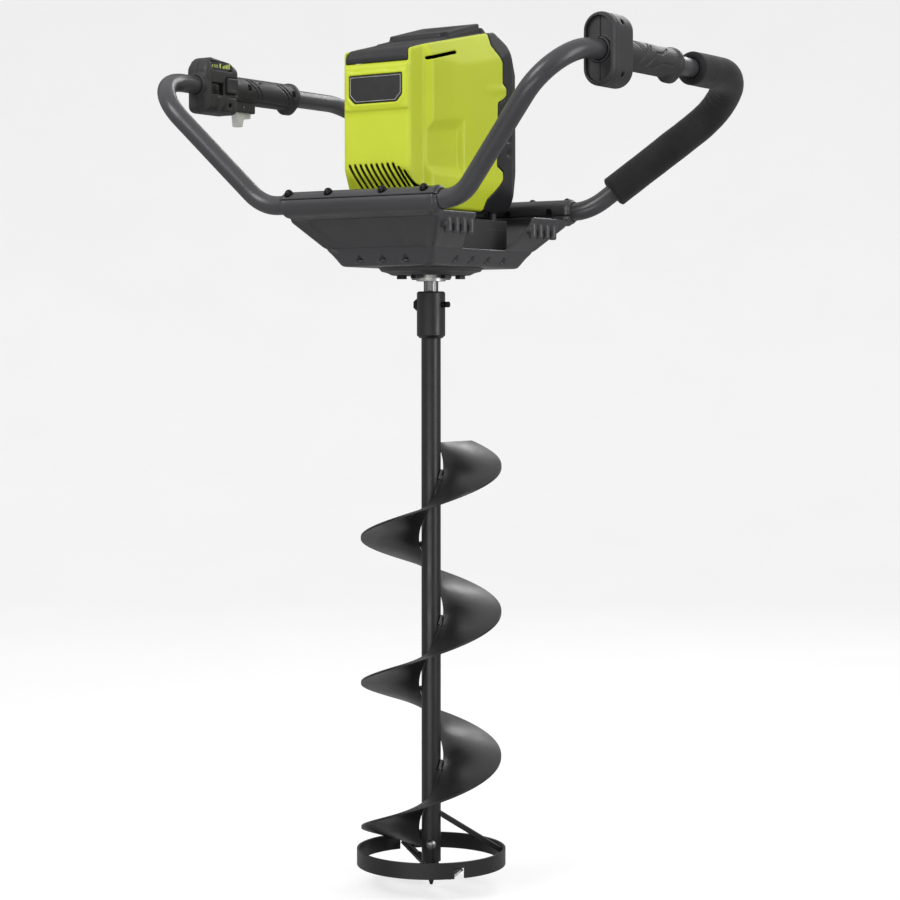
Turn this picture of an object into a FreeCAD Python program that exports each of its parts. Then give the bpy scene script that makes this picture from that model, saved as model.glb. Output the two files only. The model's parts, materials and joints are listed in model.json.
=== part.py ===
import FreeCAD, Part
import math
import os

# Hand-held electric ice auger, in millimetres.  +Z is up, the origin is the tip of the
# centre point and the drive axis is the Z axis.  -Y is the front (badge side), +Y is the
# rear (battery side), and the two handle loops stand out along -X and +X.

OUT = "parts"
VEC = FreeCAD.Vector
X_DIR = VEC(1, 0, 0)
Y_DIR = VEC(0, 1, 0)
Z_DIR = VEC(0, 0, 1)

# Fits and walls
GAP = 0.05
RUN_GAP = 0.03
SHELL_WALL = 2.5
PLAY = 0.4

# Auger bit
SHAFT_R = 13.35
SHAFT_BORE_R = 10.5
SHAFT_BOTTOM = 34.0
SHAFT_TOP = 786.0
FLIGHT_R = 97.0
FLIGHT_INNER_R = 16.6
FLIGHT_PITCH = 200.5
FLIGHT_THICK = 3.0
FLIGHT_BOTTOM = 49.5
FLIGHT_TOP = 612.0
FLIGHT_TOP_ANGLE = 89.0
RING_R = 103.0
RING_WALL = 3.5
RING_BOTTOM = 30.5
RING_TOP = 52.5
BLADE_ANGLE = 147.0
BLADE_PITCH_ANGLE = 32.0
BLADE_DROOP = 10.0
BLADE_BASE = RING_BOTTOM + 6.0
BLADE_SCREW_X = (42.0, 78.0)
BLADE_SCREW_Y = 3.0
STRUT_ANGLE = 40.0
STRUT_TOP = 103.0
POINT_BOLT_Z = 59.0
POINT_BOLT_ANGLE = -55.0

# Coupling between the bit and the powerhead
COUPLER_R = 19.5
COUPLER_BOTTOM = 757.0
COUPLER_TOP = 821.0
PIN_R = 4.0
PIN_Z = 803.0
OUTPUT_R = 10.0
OUTPUT_BOTTOM = 790.0

# Gear train, seen from above
MOTOR_Y = 15.0
COUNTER_Y = 60.0
OUTPUT_TEETH = 47
COUNTER_PINION_TEETH = 13
SLOW_MODULE = 2.0
COUNTER_TEETH = 60
MOTOR_PINION_TEETH = 12
FAST_MODULE = 1.25
PRESSURE_ANGLE = math.radians(20)
ADDENDUM = 0.75
DEDENDUM = 1.2
BACKLASH = 0.3
SMALL_BEARING = (4.0, 11.0, 7.0)
MAIN_BEARING = (10.0, 21.0, 12.0)

# Heights of the gearbox
PLATE_BOTTOM = 835.0
FLANGE_BOTTOM = 843.0
FLANGE_R = 72.0
TRAY_BOTTOM = 853.0
CASE_BOTTOM = 857.5
CASE_TOP = 907.0
LID_TOP = 919.0
CASE_X = (-55.0, 62.0)
CASE_Y = (-58.0, 104.0)
SLOW_GEAR_Z = (880.0, 892.0)
FAST_GEAR_Z = (897.0, 905.0)

# Tray and handle frame
FRAME_X = 8.0
TUBE_R = 12.7
TUBE_BORE_R = 10.7
RIM_R = 17.0
RIM_SPAN = {-1: (-111.0, 137.0), 1: (-103.0, 119.0)}
RIM_Y = 174.0
RIM_Z = 934.0
FLOOR_HALF = (76.0, 109.0)
BAND_HALF = (88.0, 116.0)
BAND_TOP = 875.0
WALL_MID_HALF = (119.0, 155.0)
WALL_MID = 911.0
WALL_TOP_HALF = (123.0, 163.0)
WALL_TOP = 920.0
TRAY_WALL = 4.0
FLUTE_Y = (76.0, 93.0, 110.0, 127.0)
LOWER_X = 161.0
LOWER_FAR_X = 139.0
UPPER_X = 334.0
UPPER_NEAR_Y = -222.0
UPPER_FAR_Y = 298.0
BAR_Z = 1113.0
LOWER_BEND_R = 58.0
UPPER_BEND_R = 68.0
SCREW_X = {-1: (-110.0, -44.0, 44.0, 110.0), 1: (-98.0, -40.0, 40.0, 98.0)}
LOCK_X = {-1: (-88.0, -22.0, 22.0, 88.0), 1: (-85.0, -20.0, 14.0, 84.0)}
SCREW_TILT = 32.0
SCREW_HOLE_R = 2.3

# Motor
MOTOR_R = 36.0
MOTOR_BOTTOM = 919.1
MOTOR_TOP = 990.0

# Powerhead housing
HOUSE_X = 75.0
HOUSE_FRONT = -128.0
HOUSE_SPLIT = 58.0
HOUSE_BOTTOM = 930.0
HOUSE_TOP = 1183.0
HOUSE_PROFILE = ((-104, 930), (-128, 982), (-128, 1137), (54, HOUSE_TOP),
                 (84, 1160), (116, 1122), (119, 985), (98, 930))
HOUSE_PLAN = ((54, -128), (57, -98), (67, -90), (74, -30), (75, 60), (72, 92), (62, 119))
NOSE_CORNER_R = 8.0
COVER_X = 52.0
COVER_DEPTH = 17.0
RAISED_X = 48.0
RAISED_Y = (-36.0, 53.0)
RAISED_STEP = 6.5
HOUSING_POSTS = ((42.0, -42.0), (-34.0, -40.0), (47.0, 80.0), (-43.0, 80.0))
SCREW_BOSSES = ((58.0, 985.0), (-58.0, 985.0), (58.0, 1095.0), (-58.0, 1095.0))
BADGE_X = (-41.5, 44.5)
BADGE_Z = (1067.5, 1104.0)
SLAT_COUNT = 10
BAY_X = 43.0
BAY_Z = (988.0, 1124.0)
BAY_Y = 62.0
BATTERY_REAR = 117.0
LATCH_POCKET_X = (-16.2, 16.2)

# Handle furniture
LEFT_X = FRAME_X - UPPER_X
RIGHT_X = FRAME_X + UPPER_X
SWITCH_Y = (-109.0, -40.0)
SWITCH_HALF = 20.5
SWITCH_Z = (-38.5, 30.0)
HUMP_TOP = 40.0
HUMP_HALF = 16.5
GRIP_R = 19.5
LEFT_GRIP_END = 100.0
DISPLAY_Y = (-99.0, -55.0)
DISPLAY_Z = (BAR_Z + 22.0, BAR_Z + 34.0)
SELECTOR_Y = (-100.0, -75.0)
SELECTOR_Z = (BAR_Z - 12.0, BAR_Z + 4.0)
BUTTON_Y = (-70.0, -46.0)
BUTTON_Z = (BAR_Z - 10.0, BAR_Z + 13.0)
HANDLE_SCREWS = ((-62.0, -26.0, 16.5, 34.0), (-15.0, 3.0, 15.4, 6.0), (86.0, 3.0, 15.4, 6.0))
GUARD_Y = (-39.5, 7.0)
GUARD_HALF = 11.0
PIVOT_PIN_R = 1.5
TRIGGER_PIVOT = VEC(LEFT_X, -20.0, BAR_Z - 24.0)
TRIGGER_HALF = 6.0
TRIGGER_BAR_TOP = BAR_Z - 28.0
SPRING_TOP = BAR_Z - 14.4
RIGHT_BOSS_Y = (-129.0, -75.0)
RIGHT_BOSS_Z = (-45.0, 47.0)
RIGHT_BOSS_HALF = 23.0
RIGHT_GRIP_END = 58.0
BOSS_SCREWS = ((-102.0, 34.0), (-102.0, -30.0))
FOAM_R = 22.3
FOAM_START = 109.0
FOAM_SHARE = 0.86


def cylinder(radius, height, base, axis=Z_DIR):
    return Part.makeCylinder(radius, height, base, axis)


def ring(outer, inner, height, base, axis=Z_DIR):
    return cylinder(outer, height, base, axis).cut(cylinder(inner, height, base, axis))


def block(x, y, z):
    return Part.makeBox(x[1] - x[0], y[1] - y[0], z[1] - z[0], VEC(x[0], y[0], z[0]))


def rounded_block(x, y, z, radius):
    body = block(x, y, z)
    return body.makeFillet(radius, body.Edges)


def fuse_all(shapes):
    whole = shapes[0].multiFuse(shapes[1:]) if len(shapes) > 1 else shapes[0]
    return whole.removeSplitter()


def prism(points, direction):
    return Part.Face(Part.makePolygon(points + [points[0]])).extrude(direction)


def turned(profile, centre=VEC(0, 0, 0)):
    """Revolves a closed (radius, z) outline about a vertical axis through centre."""
    points = [centre + VEC(radius, 0, z) for radius, z in profile]
    face = Part.Face(Part.makePolygon(points + [points[0]]))
    return face.revolve(centre, Z_DIR, 360)


def spun(shape, angle, centre=VEC(0, 0, 0), axis=Z_DIR):
    copy = shape.copy()
    copy.rotate(centre, axis, angle)
    return copy


def bent_wire(corners, bends):
    """A line through the corners, with each inner corner rounded to its own bend radius."""
    edges = []
    start = corners[0]
    for before, corner, after, bend in zip(corners, corners[1:], corners[2:], bends):
        back = (before - corner).normalize()
        ahead = (after - corner).normalize()
        half = back.getAngle(ahead) / 2
        entry = corner + back * (bend / math.tan(half))
        leave = corner + ahead * (bend / math.tan(half))
        middle_way = (back + ahead).normalize()
        middle = corner + middle_way * (bend / math.sin(half) - bend)
        edges.append(Part.makeLine(start, entry))
        edges.append(Part.Arc(entry, middle, leave).toShape())
        start = leave
    edges.append(Part.makeLine(start, corners[-1]))
    return Part.Wire(edges)


def pipe(wire, radius):
    first = wire.Edges[0]
    start = first.valueAt(first.FirstParameter)
    tangent = first.tangentAt(first.FirstParameter)
    profile = Part.Wire(Part.makeCircle(radius, start, tangent))
    return wire.makePipeShell([profile], True, False)


def headed_bolt(top, axis, head_r, head_h, shank_r, length):
    """A bolt whose head starts at top and whose shank runs back along -axis."""
    head = cylinder(head_r, head_h, top, axis)
    shank = cylinder(shank_r, length, top, axis * -1)
    return head.fuse(shank)


# ---------------------------------------------------------------- auger bit


def helix_solid(inner, outer, thick, bottom, top, top_angle):
    """A right-hand screw flight of rectangular section."""
    spine = Part.Wire(Part.makeHelix(FLIGHT_PITCH, top - bottom, inner).Edges)
    sweep = Part.BRepOffsetAPI.MakePipeShell(spine)
    sweep.setBiNormalMode(Z_DIR)
    low = -thick / 2
    high = thick / 2
    corners = [VEC(inner, 0, low), VEC(outer, 0, low), VEC(outer, 0, high), VEC(inner, 0, high)]
    sweep.add(Part.makePolygon(corners + [corners[0]]))
    sweep.build()
    sweep.makeSolid()
    solid = sweep.shape()
    solid.translate(VEC(0, 0, bottom))
    start_angle = top_angle - 360 * (top - bottom) / FLIGHT_PITCH
    return spun(solid, start_angle)


def auger_flight():
    return helix_solid(FLIGHT_INNER_R, FLIGHT_R, FLIGHT_THICK, FLIGHT_BOTTOM, FLIGHT_TOP, FLIGHT_TOP_ANGLE)


def flight_welds():
    """Short fillet beads that bridge the small gap between the flight and the shaft."""
    bead_r = 2.2
    bead_length = 14.0
    inset = SHAFT_R + bead_r + GAP
    beads = []
    for step in range(6):
        z = FLIGHT_BOTTOM + 12.0 + step * FLIGHT_PITCH / 2
        turn = FLIGHT_TOP_ANGLE - 360 * (FLIGHT_TOP - z) / FLIGHT_PITCH
        rise = math.atan(FLIGHT_PITCH / (2 * math.pi * inset))
        above = z + FLIGHT_THICK / 2 + (bead_r + 0.4) / math.cos(rise)
        bead = cylinder(bead_r, bead_length, VEC(inset, -bead_length / 2, above), Y_DIR)
        bead.rotate(VEC(inset, 0, above), X_DIR, math.degrees(rise))
        beads.append(spun(bead, turn))
    return beads


def through_hole(radius, z, angle):
    hole = cylinder(radius, 80, VEC(-40, 0, z), X_DIR)
    return spun(hole, angle)


def auger_shaft():
    tube = ring(SHAFT_R, SHAFT_BORE_R, SHAFT_TOP - SHAFT_BOTTOM, VEC(0, 0, SHAFT_BOTTOM))
    return tube.cut(through_hole(PIN_R + GAP, POINT_BOLT_Z, POINT_BOLT_ANGLE))


def centre_point():
    collar = 24.0
    plug_top = 76.0
    outline = ((0, 0), (2.0, 1.0), (8.5, collar - 2), (10.5, collar), (10.5, SHAFT_BOTTOM - GAP))
    plug = ((SHAFT_BORE_R - GAP, SHAFT_BOTTOM - GAP), (SHAFT_BORE_R - GAP, plug_top), (0, plug_top))
    point = turned(outline + plug)
    for turn in range(4):
        flat = block((5.0, 20.0), (-20, 20), (-1, collar - 6))
        flat = spun(flat, -14, VEC(5.0, 0, 0), Y_DIR)
        point = point.cut(spun(flat, 90 * turn + 45))
    return point.cut(through_hole(PIN_R + GAP, POINT_BOLT_Z, POINT_BOLT_ANGLE))


def point_bolt():
    head_r = 6.5
    seat = SHAFT_R + 0.2
    shank = cylinder(PIN_R, 2 * seat + 6, VEC(-seat - 6, 0, POINT_BOLT_Z), X_DIR)
    dome = Part.makeSphere(9.0, VEC(seat - 5, 0, POINT_BOLT_Z))
    head = cylinder(head_r, 4.0, VEC(seat, 0, POINT_BOLT_Z), X_DIR).common(dome)
    nut = hex_prism(6.5, 5.0, VEC(-seat - 5, 0, POINT_BOLT_Z), X_DIR)
    return spun(fuse_all([shank, head, nut]), POINT_BOLT_ANGLE)


def hex_prism(across_half, height, base, axis):
    """A hexagonal prism standing on base along axis."""
    face_r = across_half / math.cos(math.pi / 6)
    turns = [k * math.pi / 3 for k in range(6)]
    points = [VEC(face_r * math.cos(turn), face_r * math.sin(turn), 0) for turn in turns]
    solid = prism(points, Z_DIR * height)
    solid.Placement = FreeCAD.Placement(base, FreeCAD.Rotation(Z_DIR, axis))
    return solid


def blade_gap(angle):
    """The opening in the cutting ring that the end of a blade passes through."""
    width = 15.0
    gap = block((RING_R - 12, RING_R + 5), (-width / 2, width / 2), (RING_BOTTOM - 1, RING_BOTTOM + 14))
    return spun(gap, angle)


def cutting_ring():
    band = ring(RING_R, RING_R - RING_WALL, RING_TOP - RING_BOTTOM, VEC(0, 0, RING_BOTTOM))
    for angle in (BLADE_ANGLE, BLADE_ANGLE + 180):
        band = band.cut(blade_gap(angle))
    return band


def ring_strut():
    half = 4.0
    inner = SHAFT_R + 0.4
    outer = RING_R - RING_WALL - 0.4
    drop = RING_TOP - 3.0
    depth = 8.0
    outline = [VEC(inner, -half, STRUT_TOP), VEC(outer, -half, drop), VEC(outer, -half, drop - depth),
               VEC(inner, -half, STRUT_TOP - depth)]
    return spun(prism(outline, Y_DIR * (2 * half)), STRUT_ANGLE)


def blade_frame(shape, angle):
    """Pitches a radial plate down at its leading edge and droops it towards the point."""
    pitched = spun(shape, BLADE_PITCH_ANGLE, VEC(0, 0, BLADE_BASE), X_DIR)
    drooped = spun(pitched, -BLADE_DROOP, VEC(RING_R - RING_WALL, 0, BLADE_BASE), Y_DIR)
    return spun(drooped, angle)


def blade_hole():
    """Clearance for the two screws of one blade, in the blade's own frame."""
    hole_r = 2.6
    reach = 40.0
    low = BLADE_BASE - reach / 2
    return Part.makeCompound([cylinder(hole_r, reach, VEC(x, BLADE_SCREW_Y, low)) for x in BLADE_SCREW_X])


def blades():
    """Two bevelled ice blades, each clamped under its holder by two screws."""
    low = BLADE_BASE - 1.0
    high = BLADE_BASE + 2.0
    leading = -14.0
    trailing = 9.0
    bevel = 6.0
    inner = SHAFT_R + 2.4
    outer = RING_R - RING_WALL - 2.0
    outline = [VEC(inner, leading, low + 1.5), VEC(inner, leading + bevel, low), VEC(inner, trailing, low),
               VEC(inner, trailing, high), VEC(inner, leading + 2.0, high)]
    made = []
    for angle in (BLADE_ANGLE, BLADE_ANGLE + 180):
        blade = prism(outline, X_DIR * (outer - inner)).cut(blade_hole())
        made.append(blade_frame(blade, angle))
    return made


def blade_holders():
    inner = SHAFT_R + 4.0
    outer = RING_R - RING_WALL - 3.0
    low = BLADE_BASE + 2.2
    high = BLADE_BASE + 6.2
    made = []
    for angle in (BLADE_ANGLE, BLADE_ANGLE + 180):
        holder = block((inner, outer), (-4.0, 10.0), (low, high)).cut(blade_hole())
        made.append(blade_frame(holder, angle))
    return made


def blade_screws():
    head_r = 4.6
    made = []
    for angle in (BLADE_ANGLE, BLADE_ANGLE + 180):
        for x in BLADE_SCREW_X:
            screw = headed_bolt(VEC(x, BLADE_SCREW_Y, BLADE_BASE + 6.3), Z_DIR, head_r, 3.0, 2.5, 8.5)
            made.append(blade_frame(screw, angle))
    return made


# ---------------------------------------------------------------- coupling


def coupler_collar():
    bevel = 4.0
    outline = ((SHAFT_R + GAP, COUPLER_BOTTOM), (COUPLER_R - bevel, COUPLER_BOTTOM),
               (COUPLER_R, COUPLER_BOTTOM + bevel),
               (COUPLER_R, COUPLER_TOP - 2), (COUPLER_R - 2, COUPLER_TOP), (OUTPUT_R + GAP, COUPLER_TOP),
               (OUTPUT_R + GAP, SHAFT_TOP + 1), (SHAFT_R + GAP, SHAFT_TOP + 1))
    collar = turned(outline)
    return collar.cut(through_hole(PIN_R + GAP, PIN_Z, 0))


def coupler_pin():
    """Cross pin with a hexagonal head on the left and a grooved catch end on the right."""
    head = hex_prism(7.0, 5.0, VEC(-COUPLER_R - 5.3, 0, PIN_Z), X_DIR)
    shank = cylinder(PIN_R, 2 * COUPLER_R + 5.6, VEC(-COUPLER_R - 0.5, 0, PIN_Z), X_DIR)
    neck = cylinder(2.8, 2.0, VEC(COUPLER_R + 5.0, 0, PIN_Z), X_DIR)
    tip = cylinder(PIN_R, 3.0, VEC(COUPLER_R + 7.0, 0, PIN_Z), X_DIR)
    return fuse_all([head, shank, neck, tip])


def output_shaft():
    neck_r = 10.0
    gear_seat_r = 9.0
    outline = ((0, OUTPUT_BOTTOM), (OUTPUT_R - 1, OUTPUT_BOTTOM), (OUTPUT_R, OUTPUT_BOTTOM + 1),
               (neck_r, 878.0),
               (gear_seat_r, 878.0), (gear_seat_r, 894.0), (0, 894.0))
    shaft = turned(outline)
    for k in range(12):
        groove = block((OUTPUT_R - 0.8, OUTPUT_R + 1), (-1.1, 1.1), (COUPLER_TOP + 0.5, PLATE_BOTTOM - 0.5))
        shaft = shaft.cut(spun(groove, 30 * k))
    return shaft.cut(through_hole(PIN_R + GAP, PIN_Z, 0))


# ---------------------------------------------------------------- gearbox


def involute_half_angle(teeth, module, radius):
    """Half of a tooth's angular thickness at a radius."""
    pitch_r = teeth * module / 2
    base_r = pitch_r * math.cos(PRESSURE_ANGLE)
    at_pitch = math.pi / (2 * teeth) - BACKLASH / (4 * pitch_r)
    base_roll = math.tan(PRESSURE_ANGLE) - PRESSURE_ANGLE
    pressure = math.acos(min(1.0, base_r / radius))
    return at_pitch + base_roll - (math.tan(pressure) - pressure)


def gear_blank(teeth, module, centre, z, tooth_angle):
    """A spur gear with one tooth centred on tooth_angle (degrees)."""
    pitch_r = teeth * module / 2
    tip_r = pitch_r + ADDENDUM * module
    root_r = pitch_r - DEDENDUM * module
    base_r = pitch_r * math.cos(PRESSURE_ANGLE)
    steps = 4
    low_r = max(base_r, root_r)
    radii = [low_r + (tip_r - low_r) * k / steps for k in range(steps + 1)]
    if root_r < low_r:
        radii = [root_r] + radii
    points = []
    for tooth in range(teeth):
        middle = math.radians(tooth_angle) + 2 * math.pi * tooth / teeth
        flank = [(radius, involute_half_angle(teeth, module, max(radius, low_r))) for radius in radii]
        for radius, half in flank:
            angle = middle - half
            points.append(centre + VEC(radius * math.cos(angle), radius * math.sin(angle), z[0]))
        for radius, half in reversed(flank):
            angle = middle + half
            points.append(centre + VEC(radius * math.cos(angle), radius * math.sin(angle), z[0]))
    return prism(points, Z_DIR * (z[1] - z[0]))


def output_gear():
    blank = gear_blank(OUTPUT_TEETH, SLOW_MODULE, VEC(0, 0, 0), SLOW_GEAR_Z, 90)
    return blank.cut(cylinder(9.0 + GAP, 20, VEC(0, 0, SLOW_GEAR_Z[0] - 4)))


def countershaft():
    """Countershaft with its integral pinion, turned down at both ends for its bearings."""
    centre = VEC(0, COUNTER_Y, 0)
    half = 180 / COUNTER_PINION_TEETH
    pinion = gear_blank(COUNTER_PINION_TEETH, SLOW_MODULE, centre, (878.0, 894.0), 270 + half)
    bore = SMALL_BEARING[0]
    body = cylinder(7.0, FAST_GEAR_Z[1] - 873.5 + 1, centre + VEC(0, 0, 873.5))
    ends = cylinder(bore, 49.3, centre + VEC(0, 0, 866.0))
    return fuse_all([pinion, body, ends])


def countershaft_gear():
    centre = VEC(0, COUNTER_Y, 0)
    blank = gear_blank(COUNTER_TEETH, FAST_MODULE, centre, FAST_GEAR_Z, 270)
    blank = blank.cut(cylinder(7.0 + GAP, 12, centre + VEC(0, 0, FAST_GEAR_Z[0] - 2)))
    for k in range(6):
        hole = cylinder(6.0, 12, centre + VEC(21, 0, FAST_GEAR_Z[0] - 2))
        blank = blank.cut(spun(hole, 60 * k, centre))
    return blank


def motor_pinion():
    centre = VEC(0, MOTOR_Y, 0)
    half = 180 / MOTOR_PINION_TEETH
    blank = gear_blank(MOTOR_PINION_TEETH, FAST_MODULE, centre, (896.5, 906.0), 90 + half)
    return blank.cut(cylinder(4.0 + GAP, 20, centre + VEC(0, 0, 890)))


def bearing(size, centre):
    bore, outer, width = size
    race = ring(outer, bore + RUN_GAP, width, centre)
    groove_r = (outer + bore) / 2
    for z in (0, width - 0.8):
        shield = ring(groove_r + 2.5, groove_r - 2.5, 0.8, centre + VEC(0, 0, z))
        race = race.cut(shield)
    return race


def output_bearings():
    return [bearing(MAIN_BEARING, VEC(0, 0, z)) for z in (846.0, 861.0)]


def small_bearings():
    counter = [VEC(0, COUNTER_Y, 866.0), VEC(0, COUNTER_Y, 908.5)]
    motor = [VEC(0, MOTOR_Y, 922.7), VEC(0, MOTOR_Y, 981.0)]
    return [bearing(SMALL_BEARING, centre) for centre in counter + motor]


def bearing_carrier():
    """The dished cast flange under the tray; its neck holds the two main bearings."""
    neck_r = 25.0
    neck_top = 874.5
    seat = MAIN_BEARING[1] + GAP
    outline = ((14.0, FLANGE_BOTTOM), (54.0, FLANGE_BOTTOM), (60.0, FLANGE_BOTTOM + 3),
               (68.0, FLANGE_BOTTOM + 5), (FLANGE_R, TRAY_BOTTOM - 0.2), (neck_r, TRAY_BOTTOM - 0.2),
               (neck_r, neck_top), (seat, neck_top),
               (seat, 845.9), (14.0, 845.9))
    carrier = turned(outline)
    for x, y in bolt_circle():
        carrier = carrier.cut(cylinder(3.0, 30, VEC(x, y, 835)))
    return carrier


def bolt_circle():
    radius = 40.0
    turns = [math.radians(degrees) for degrees in range(35, 395, 60)]
    return [(radius * math.cos(turn), radius * math.sin(turn)) for turn in turns]


def carrier_bolts():
    bolts = []
    for x, y in bolt_circle():
        head = hex_prism(6.5, 5.0, VEC(x, y, FLANGE_BOTTOM - 5.1), Z_DIR)
        shank = cylinder(2.9, 20.0, VEC(x, y, FLANGE_BOTTOM - 0.5))
        bolts.append(head.fuse(shank))
    return bolts


def retainer_plate():
    plate = ring(28.0, 15.2, 4.0, VEC(0, 0, FLANGE_BOTTOM - 4.1))
    lip = ring(20.0, 15.2, 4.5, VEC(0, 0, PLATE_BOTTOM))
    return fuse_all([plate, lip])


def shaft_seal():
    return ring(15.0, OUTPUT_R + RUN_GAP, 6.0, VEC(0, 0, PLATE_BOTTOM + 1))


def gear_case():
    wall = 4.0
    floor = 6.0
    outer = block(CASE_X, CASE_Y, (CASE_BOTTOM, CASE_TOP))
    outer = outer.makeFillet(14.0, [e for e in outer.Edges if is_vertical(e)])
    inner = block((CASE_X[0] + wall, CASE_X[1] - wall), (CASE_Y[0] + wall, CASE_Y[1] - wall),
                  (CASE_BOTTOM + floor, CASE_TOP + 1))
    case = outer.cut(inner)
    seat_r = SMALL_BEARING[1]
    boss = cylinder(seat_r + 4, 873.0 - CASE_BOTTOM - floor + 1, VEC(0, COUNTER_Y, CASE_BOTTOM + floor - 1))
    case = case.fuse(boss)
    case = case.cut(cylinder(seat_r + GAP, 12, VEC(0, COUNTER_Y, 865.9)))
    case = case.cut(cylinder(25.1, 30, VEC(0, 0, 850)))
    for x, y in case_screw_places():
        post = cylinder(6.0, CASE_TOP - CASE_BOTTOM - 1, VEC(x, y, CASE_BOTTOM + 1))
        case = case.fuse(post).cut(cylinder(2.0, 30, VEC(x, y, 890)))
    for x, y in bolt_circle():
        case = case.cut(cylinder(3.0, 12, VEC(x, y, CASE_BOTTOM - 2)))
    return case.removeSplitter()


def is_vertical(edge):
    low, high = edge.Vertexes[0].Point, edge.Vertexes[-1].Point
    return abs(low.x - high.x) < 1e-6 and abs(low.y - high.y) < 1e-6


def case_screw_places():
    inset = 8.5
    across = (CASE_X[0] + inset, CASE_X[1] - inset)
    along = (CASE_Y[0] + inset, CASE_Y[1] - inset)
    return [(x, y) for x in across for y in along]


def gear_case_lid():
    lid = block(CASE_X, CASE_Y, (CASE_TOP + 0.1, LID_TOP))
    lid = lid.makeFillet(14.0, [e for e in lid.Edges if is_vertical(e)])
    lid = lid.cut(cylinder(9.5, 30, VEC(0, MOTOR_Y, 900)))
    lid = lid.cut(cylinder(SMALL_BEARING[1] + GAP, 8.5, VEC(0, COUNTER_Y, CASE_TOP)))
    for x, y in case_screw_places():
        lid = lid.cut(cylinder(2.3, 20, VEC(x, y, 902)))
        lid = lid.cut(cylinder(4.2, 5, VEC(x, y, LID_TOP - 4)))
    for x, y in HOUSING_POSTS:
        lid = lid.fuse(cylinder(6.0, HOUSE_BOTTOM - LID_TOP - 0.1 + 1, VEC(x, y, LID_TOP - 1)))
        lid = lid.cut(cylinder(1.9, 26, VEC(x, y, LID_TOP - 10)))
    return lid.removeSplitter()


def gear_case_screws():
    seat = LID_TOP - 3.9
    return [headed_bolt(VEC(x, y, seat), Z_DIR, 3.8, 3.0, 1.9, 20.0) for x, y in case_screw_places()]


# ---------------------------------------------------------------- motor


def motor_can():
    centre = VEC(0, MOTOR_Y, MOTOR_BOTTOM)
    height = MOTOR_TOP - MOTOR_BOTTOM
    can = cylinder(MOTOR_R, height, centre)
    can = can.cut(cylinder(MOTOR_R - 2.5, height - 7, centre + VEC(0, 0, 3.5)))
    outer = SMALL_BEARING[1]
    for z in (922.6, 980.9):
        seat = ring(outer + 3, outer + GAP, 7.2, VEC(0, MOTOR_Y, z))
        can = can.fuse(seat)
    can = can.cut(cylinder(9.0, height + 2, centre - Z_DIR))
    can = can.cut(cylinder(outer + GAP, 20, VEC(0, MOTOR_Y, 980.9)))
    for k in range(6):
        window = block((20, 30), (-7, 7), (MOTOR_TOP - 5, MOTOR_TOP + 1))
        window.translate(VEC(0, MOTOR_Y, 0))
        can = can.cut(spun(window, 60 * k, VEC(0, MOTOR_Y, 0)))
    return can.removeSplitter()


def motor_stator():
    centre = VEC(0, MOTOR_Y, 935.0)
    yoke = ring(MOTOR_R - 2.6, 27.0, 32.0, centre)
    parts = [yoke]
    for k in range(9):
        tooth = block((19.0, 28.0), (-2.5, 2.5), (935.0, 967.0))
        shoe = block((18.6, 20.6), (-5.0, 5.0), (935.0, 967.0))
        for piece in (tooth, shoe):
            piece.translate(VEC(0, MOTOR_Y, 0))
            parts.append(spun(piece, 40 * k, VEC(0, MOTOR_Y, 0)))
    stator = fuse_all(parts)
    return stator.cut(cylinder(18.2, 40, VEC(0, MOTOR_Y, 930)))


def stator_windings():
    coils = []
    for k in range(9):
        outer = block((21.2, 26.4), (-5.2, 5.2), (931.5, 970.5))
        inner = block((21.0, 26.6), (-2.7, 2.7), (934.8, 967.2))
        coil = outer.cut(inner)
        coil.translate(VEC(0, MOTOR_Y, 0))
        coils.append(spun(coil, 40 * k, VEC(0, MOTOR_Y, 0)))
    return coils


def motor_rotor():
    shaft = cylinder(SMALL_BEARING[0], 1006.0 - 897.0, VEC(0, MOTOR_Y, 897.0))
    core = cylinder(17.4, 30.0, VEC(0, MOTOR_Y, 936.0))
    return shaft.fuse(core)


def cooling_fan():
    centre = VEC(0, MOTOR_Y, 993.0)
    hub = ring(9.0, SMALL_BEARING[0] + GAP, 10.0, centre)
    disc = ring(34.0, 8.5, 1.6, centre)
    parts = [hub, disc]
    for k in range(11):
        blade = block((8.0, 33.0), (-0.8, 0.8), (994.0, 1003.0))
        blade.rotate(VEC(8, 0, 0), Z_DIR, 24)
        blade.translate(VEC(0, MOTOR_Y, 0))
        parts.append(spun(blade, 360 * k / 11, VEC(0, MOTOR_Y, 0)))
    return fuse_all(parts)


# ---------------------------------------------------------------- tray and handles


def rectangle(half, z):
    x, y = half
    corners = [VEC(-x, -y, z), VEC(x, -y, z), VEC(x, y, z), VEC(-x, y, z)]
    return Part.makePolygon(corners + [corners[0]])


def tray_solid(inset):
    """The dished body of the tray, or the space inside it when inset is the wall."""
    levels = []
    shape = ((FLOOR_HALF, TRAY_BOTTOM + inset), (BAND_HALF, BAND_TOP), (WALL_MID_HALF, WALL_MID),
             (WALL_TOP_HALF, WALL_TOP), (WALL_TOP_HALF, WALL_TOP + 1 + inset))
    for half, z in shape:
        levels.append(rectangle((half[0] - inset, half[1] - inset), z))
    return Part.makeLoft(levels, True, True)


def end_cutout():
    """The wide U-shaped opening across both low ends of the tray."""
    low = BAND_TOP + 3.0
    high = WALL_TOP + 20
    step = low + 16
    half = (52.0, 66.0, 74.0)
    outline = [VEC(-400, -half[0], low), VEC(-400, half[0], low), VEC(-400, half[1], step),
               VEC(-400, half[2], high), VEC(-400, -half[2], high), VEC(-400, -half[1], step)]
    return prism(outline, X_DIR * 800)


def rim_shell(side):
    low, high = RIM_SPAN[side]
    return cylinder(RIM_R, high - low, VEC(low, side * RIM_Y, RIM_Z), X_DIR)


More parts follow.
